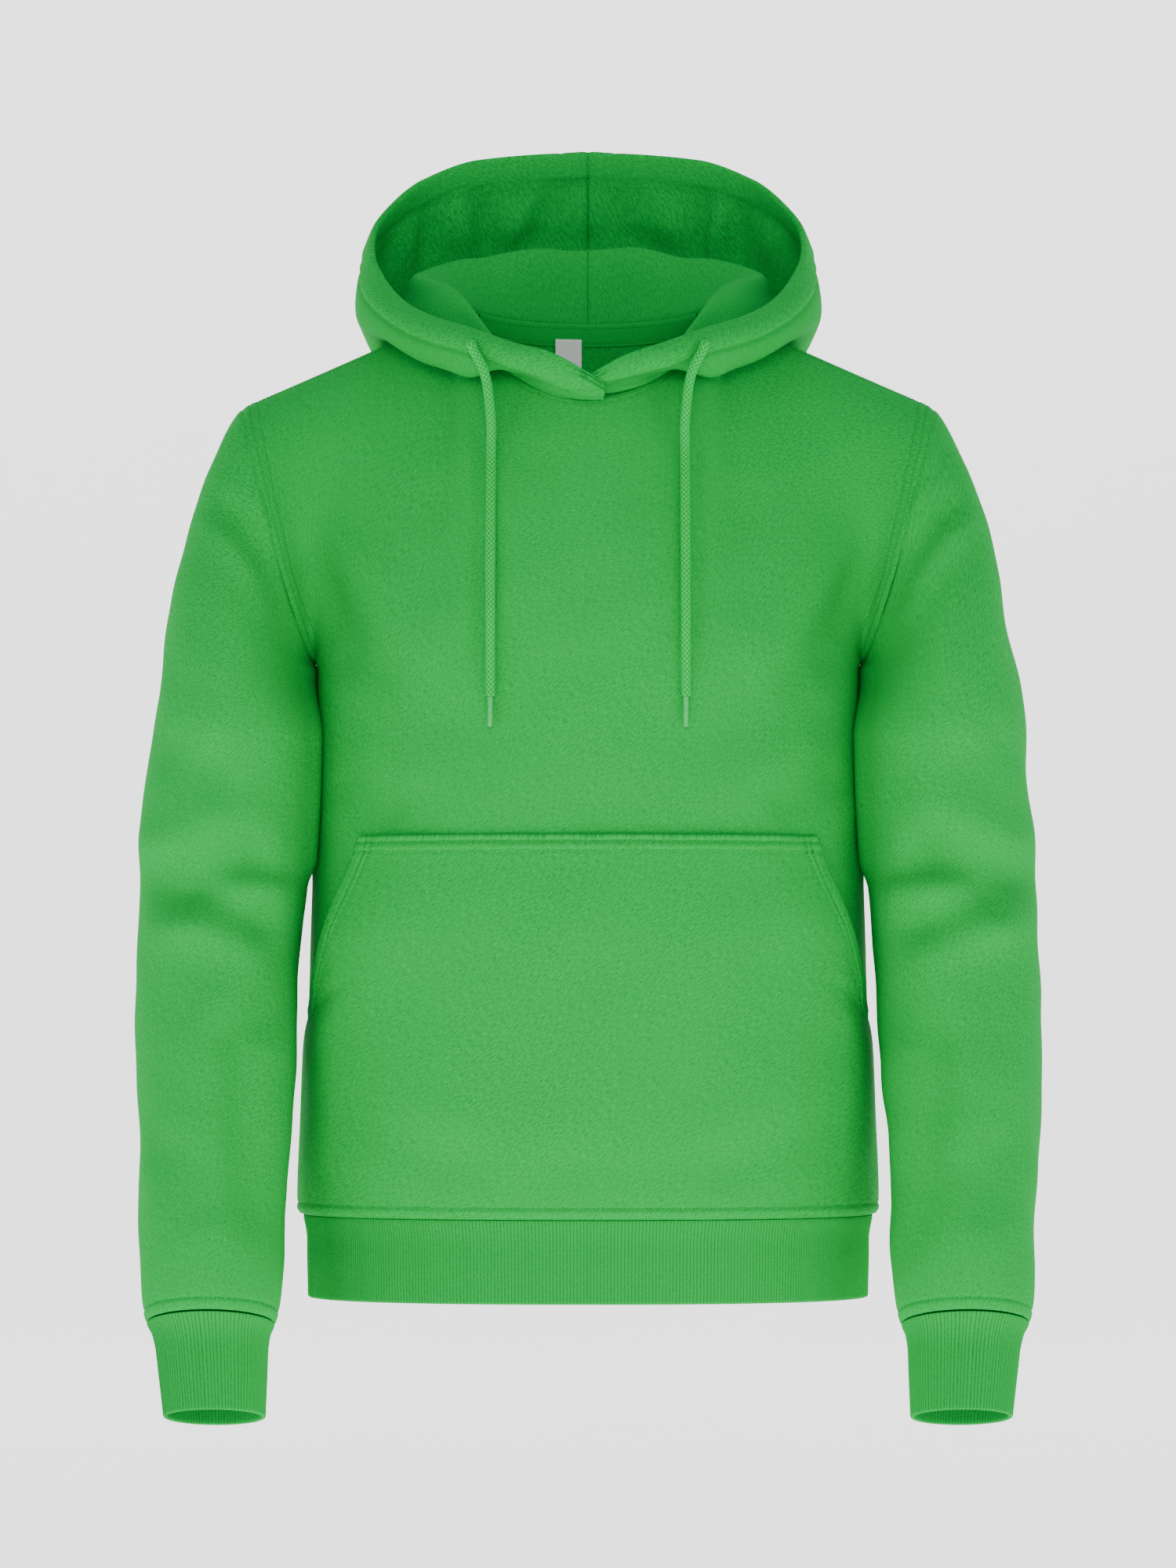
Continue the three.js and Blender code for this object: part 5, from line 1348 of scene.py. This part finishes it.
def hood_half(over):
    angles = np.concatenate([np.linspace(-HOOD_OVERLAP_ANGLE, 0, 5)[:-1], np.linspace(0, 172, 98)[:-1], np.linspace(172, 180, 12)])
    sections = [hood_section(a) for a in angles]
    around = np.array([s[0] for s in sections])
    middle = np.stack([s[1] for s in sections], 1)
    half = np.stack([s[2] for s in sections], 1)
    along = np.stack([s[3] for s in sections], 1)
    length = np.array([s[4] for s in sections])
    into = np.stack([s[5] for s in sections], 1)
    full = np.array([s[6] for s in sections])
    shift = HOOD_OVER_SHIFT if over > 0 else HOOD_UNDER_SHIFT
    layer = (shift * (1 - ease(10, 30, around)))[None, :]
    moved = middle + grid_normals(middle) * layer[..., None]
    if over < 0:
        moved[..., 2] += HOOD_FRONT_RISE * (1 - ease(10, 30, around))[None] * (1 - ease(4, 16, along))
    else:
        moved[..., 2] -= HOOD_FRONT_DROP * (1 - ease(14, 34, around))[None] * (1 - ease(2, 12, along))
    # The first rows stand on the panels' own edge
    near = -HOOD_SEAT + layer + 0 * along
    far = half + HOOD_REST_GAP + (2 * layer if over > 0 else 0)
    clearance = near + (far - near) * ease(0.3, 5, along)
    cleared = clear_of_panels(moved, clearance)
    on = (around <= 110)[None, :] & (np.arange(len(moved)) > 0)[:, None]
    moved = np.where(on[..., None], cleared, moved)
    moved = smooth(moved, False, 3)
    normals = grid_normals(moved)
    normals[:, -1, 0] = 0
    normals = unit(normals)

    share = along / length[None, :]
    relief = np.zeros(share.shape)
    for k in range(len(HOOD_FOLDS["angle"])):
        f = {name: column[k] for name, column in HOOD_FOLDS.items()}
        off = 2.0 * math.sin(1.7 * k + over)
        line = (around[None, :] - f["angle"] - off - f["slope"] * (share - f["share"])) / f["spread"]
        relief += f["depth"] * np.exp(-(line**2)) * np.exp(-(((share - f["share"]) / f["length"]) ** 2))
    calm = ease(4, 20, around)[None] * ease(4, 22, along) * (1 - ease(0.0, 0.15, into))
    relief = relief * calm * ease(0, 8, 180 - around)[None]
    relief += swell(moved, 71 if over > 0 else 83, 90, 0.8) * calm
    # The centre seam, with the cloth gathered at it behind the collar's crest
    from_seam = np.abs(moved[..., 0])
    pinch = np.exp(-((from_seam / 9) ** 2)) * np.exp(-(((share - 0.866) / 0.012) ** 2))
    relief += 8.0 * pinch
    middle = moved + normals * relief[..., None]
    middle[:, -1, 0] = 0
    normals = grid_normals(middle)
    normals[:, -1, 0] = 0
    normals = unit(normals)

    # The tunnel for the cord: pulled in along its stitches, and slightly puckered
    seam_line = np.exp(-(((along - (length[None] - TUNNEL_WIDTH)) / 1.7) ** 2)) * full[None]
    puckers = np.sin(around[None] * 0.95 + 2.2 * np.sin(around[None] * 0.13) + 1.5 * into)
    pucker = 0.38 * puckers * full[None] * np.exp(-(((along - (length[None] - TUNNEL_WIDTH) - 3) / 7) ** 2))
    # The cloth dips at the eyelet that the cord comes out of
    dip = -1.5 * np.exp(-((np.linalg.norm(middle - np.array(CORD_ROUTE[0]), axis=-1) / 6.5) ** 2))
    centre_groove = -1.0 * np.exp(-(((from_seam - 0.15) / 1.8) ** 2)) * (around > 150)[None]
    base_groove = -0.9 * np.exp(-((along / 2.6) ** 2)) * ease(4, 14, around)[None]
    out = half + pucker - 0.9 * seam_line + centre_groove + base_groove + dip
    back = half + pucker * 0.6 - 0.6 * seam_line + centre_groove + base_groove
    outer = middle + normals * out[..., None]
    inner = middle - normals * back[..., None]
    from_rim = length[None] - along
    return outer, inner, normals, from_rim, around


def hood(label, over):
    outer, inner, normals, from_rim, around = hood_half(over)
    if over > 0:
        flip = np.array([-1, 1, 1])
        outer, inner, normals = outer[:, ::-1] * flip, inner[:, ::-1] * flip, normals[:, ::-1] * flip
        from_rim, around = from_rim[:, ::-1], around[::-1]
    free = ("high", "left") if over < 0 else ("high", "right")
    piece = wall("hood_" + label + "_cloth", outer, inner, FLEECE, rounded=free)
    dress(piece, "fleece", "hood_" + label)
    declare_cut(piece, outer, "draped")
    columns = around > 30
    pick = lambda part: part[::-1][:, columns].swapaxes(0, 1)
    lines = [traced(pick(from_rim), TUNNEL_WIDTH, pick(outer), pick(normals))]
    lines.append(traced(pick(from_rim), TUNNEL_WIDTH, pick(inner), -pick(normals)))
    stitch_rows("hood_" + label + "_stitches", lines, "fleece")


hood("left", -1)
hood("right", 1)


# Neck tape over the hood's seam, and the label under it, inside the back neck
TAPE_HALF_TURN = 0.285
TAPE_DOWN = 13.6
TAPE_UP = 1.2
TAPE_WALL = 0.9
TAPE_STITCH = 2.2
LABEL_WALL = 0.6
LABEL_WIDTH = 18.0
LABEL_LENGTH = 42.0
LABEL_CENTRE_X = -13.8


def neck_tape():
    turns = np.linspace(TAPE_HALF_TURN, -TAPE_HALF_TURN, 121)
    top = top_point(turns, 1)
    below = panel_point(BACK_RISE, turns, 1.9)
    down = unit(below - top)
    fall = np.linspace(TAPE_DOWN, -TAPE_UP, 17)[:, None, None]
    base = top[None] + np.where(fall > 0, down[None], np.array([0, 0, -1.0])) * fall
    base = smooth(base, False, 2)
    normals = grid_normals(base)
    up = arc(base, 0)
    width = up[-1:]
    bulge = 0.45 * np.sqrt(np.clip(1 - (2 * up / width - 1) ** 2, 0, 1))
    bulge -= 0.35 * (bump(up, TAPE_STITCH, 0.9) + bump(up, width - TAPE_STITCH, 0.9))
    hidden = base - normals * (FLEECE_WALL + 0.4)
    shown = hidden - normals * (TAPE_WALL + bulge)[..., None]
    piece = wall("neck_tape_twill", hidden, shown, TAPE, rounded=("low", "high"))
    declare_cut(piece, shown, "draped")
    sideways = lambda part: part.swapaxes(0, 1)
    lines = [traced(up.T, TAPE_STITCH, sideways(shown), -sideways(normals))]
    from_top = (width - up)[::-1]
    lines.append(traced(from_top.T, TAPE_STITCH, sideways(shown[::-1]), -sideways(normals[::-1])))
    stitch_rows("neck_tape_stitches", lines, "tape")
    return dress(piece, "tape", "neck_tape")


def inside_back(x, z):
    turn = lambda h: halve(-0.5, 0.5, lambda t: panel_point(BACK_RISE, t, h)[0] < x, 22)
    height = halve(1.0, 2.0, lambda h: panel_point(BACK_RISE, turn(h), h)[2] < z, 22)
    return panel_point(BACK_RISE, turn(height), height)


def neck_label():
    columns, rows = 13, 27
    set_in = FLEECE_WALL + 0.3 + TAPE_WALL + 1.0
    share = np.linspace(0.5, -0.5, columns)
    down = np.linspace(1, 0, rows)
    outer = np.zeros((rows, columns, 3))
    places = LABEL_CENTRE_X + LABEL_WIDTH * share[:: columns // 3]
    for i, fall in enumerate(down):
        z = BACK_NECK[2] - 9 - LABEL_LENGTH * fall
        known = [inside_back(x, z)[1] for x in places]
        x = LABEL_CENTRE_X + LABEL_WIDTH * share
        y = np.interp(x, places[::-1], known[::-1])
        curl = 0.6 * np.cos(math.pi * share) * fall
        outer[i] = np.stack([x, y - set_in - curl, np.full(columns, z)], 1)
    normals = grid_normals(outer)
    inner = outer - normals * LABEL_WALL
    piece = wall("neck_label_satin", outer, inner, SATIN, rounded=("low", "left", "right"))
    declare_cut(piece, outer, "hung")
    return dress(piece, "label", "neck_label")


neck_tape()
neck_label()


# Floor, backdrop and light
def stage():
    # The wall stands far enough back for a camera behind the garment to be in front of it
    mesh = bpy.data.meshes.new("studio")
    profile = [(-3.0, -1.02)] + [
        (4.0 + 2.0 * math.sin(a), 0.98 - 2.0 * math.cos(a)) for a in np.linspace(0, math.pi / 2, 16)
    ] + [(6.0, 7.5)]
    points = [(x, y, z) for y, z in profile for x in (-10.0, 10.0)]
    faces = [(2 * k, 2 * k + 1, 2 * k + 3, 2 * k + 2) for k in range(len(profile) - 1)]
    mesh.from_pydata(points, [], faces)
    mesh.polygons.foreach_set("use_smooth", np.full(len(faces), True))
    studio = bpy.data.objects.new("studio", mesh)
    bpy.context.scene.collection.objects.link(studio)
    n = Nodes("pale_floor")
    speckle = n.noise(n.place(), 3, 2, 0.5)
    colour = n.mix(n.ramp(speckle, (0.3, 0), (0.7, 1)), (0.86, 0.86, 0.87, 1), (0.9, 0.9, 0.91, 1))
    glow = {"Emission_Color": (1, 1, 1, 1), "Emission_Strength": 1.5}
    mesh.materials.append(n.finish(colour, speckle, 0.0, 0.9, **glow))


def soft_light(name, place, aim, size, power):
    data = bpy.data.lights.new(name, "AREA")
    data.shape = "RECTANGLE"
    data.size, data.size_y = size
    data.energy = power
    light = bpy.data.objects.new(name, data)
    light.location = place
    light.rotation_euler = (Vector(aim) - Vector(place)).to_track_quat("-Z", "Y").to_euler()
    bpy.context.scene.collection.objects.link(light)


def light_scene():
    world = bpy.data.worlds.new("studio_light")
    world.use_nodes = True
    world.node_tree.nodes["Background"].inputs["Color"].default_value = (1, 1, 1, 1)
    world.node_tree.nodes["Background"].inputs["Strength"].default_value = 0.5
    bpy.context.scene.world = world
    soft_light("front_light", (0, -3.3, 0.5), (0, 0, -0.4), (1.4, 1.2), 37)
    soft_light("left_light", (2.3, -2.0, 0.1), (0, 0, -0.4), (1.0, 1.8), 8)
    soft_light("right_light", (-2.3, -2.0, 0.1), (0, 0, -0.4), (1.0, 1.8), 8)
    soft_light("top_light", (0, 0.1, 2.2), (0, 0, -0.2), (2.0, 2.0), 12)


stage()
light_scene()
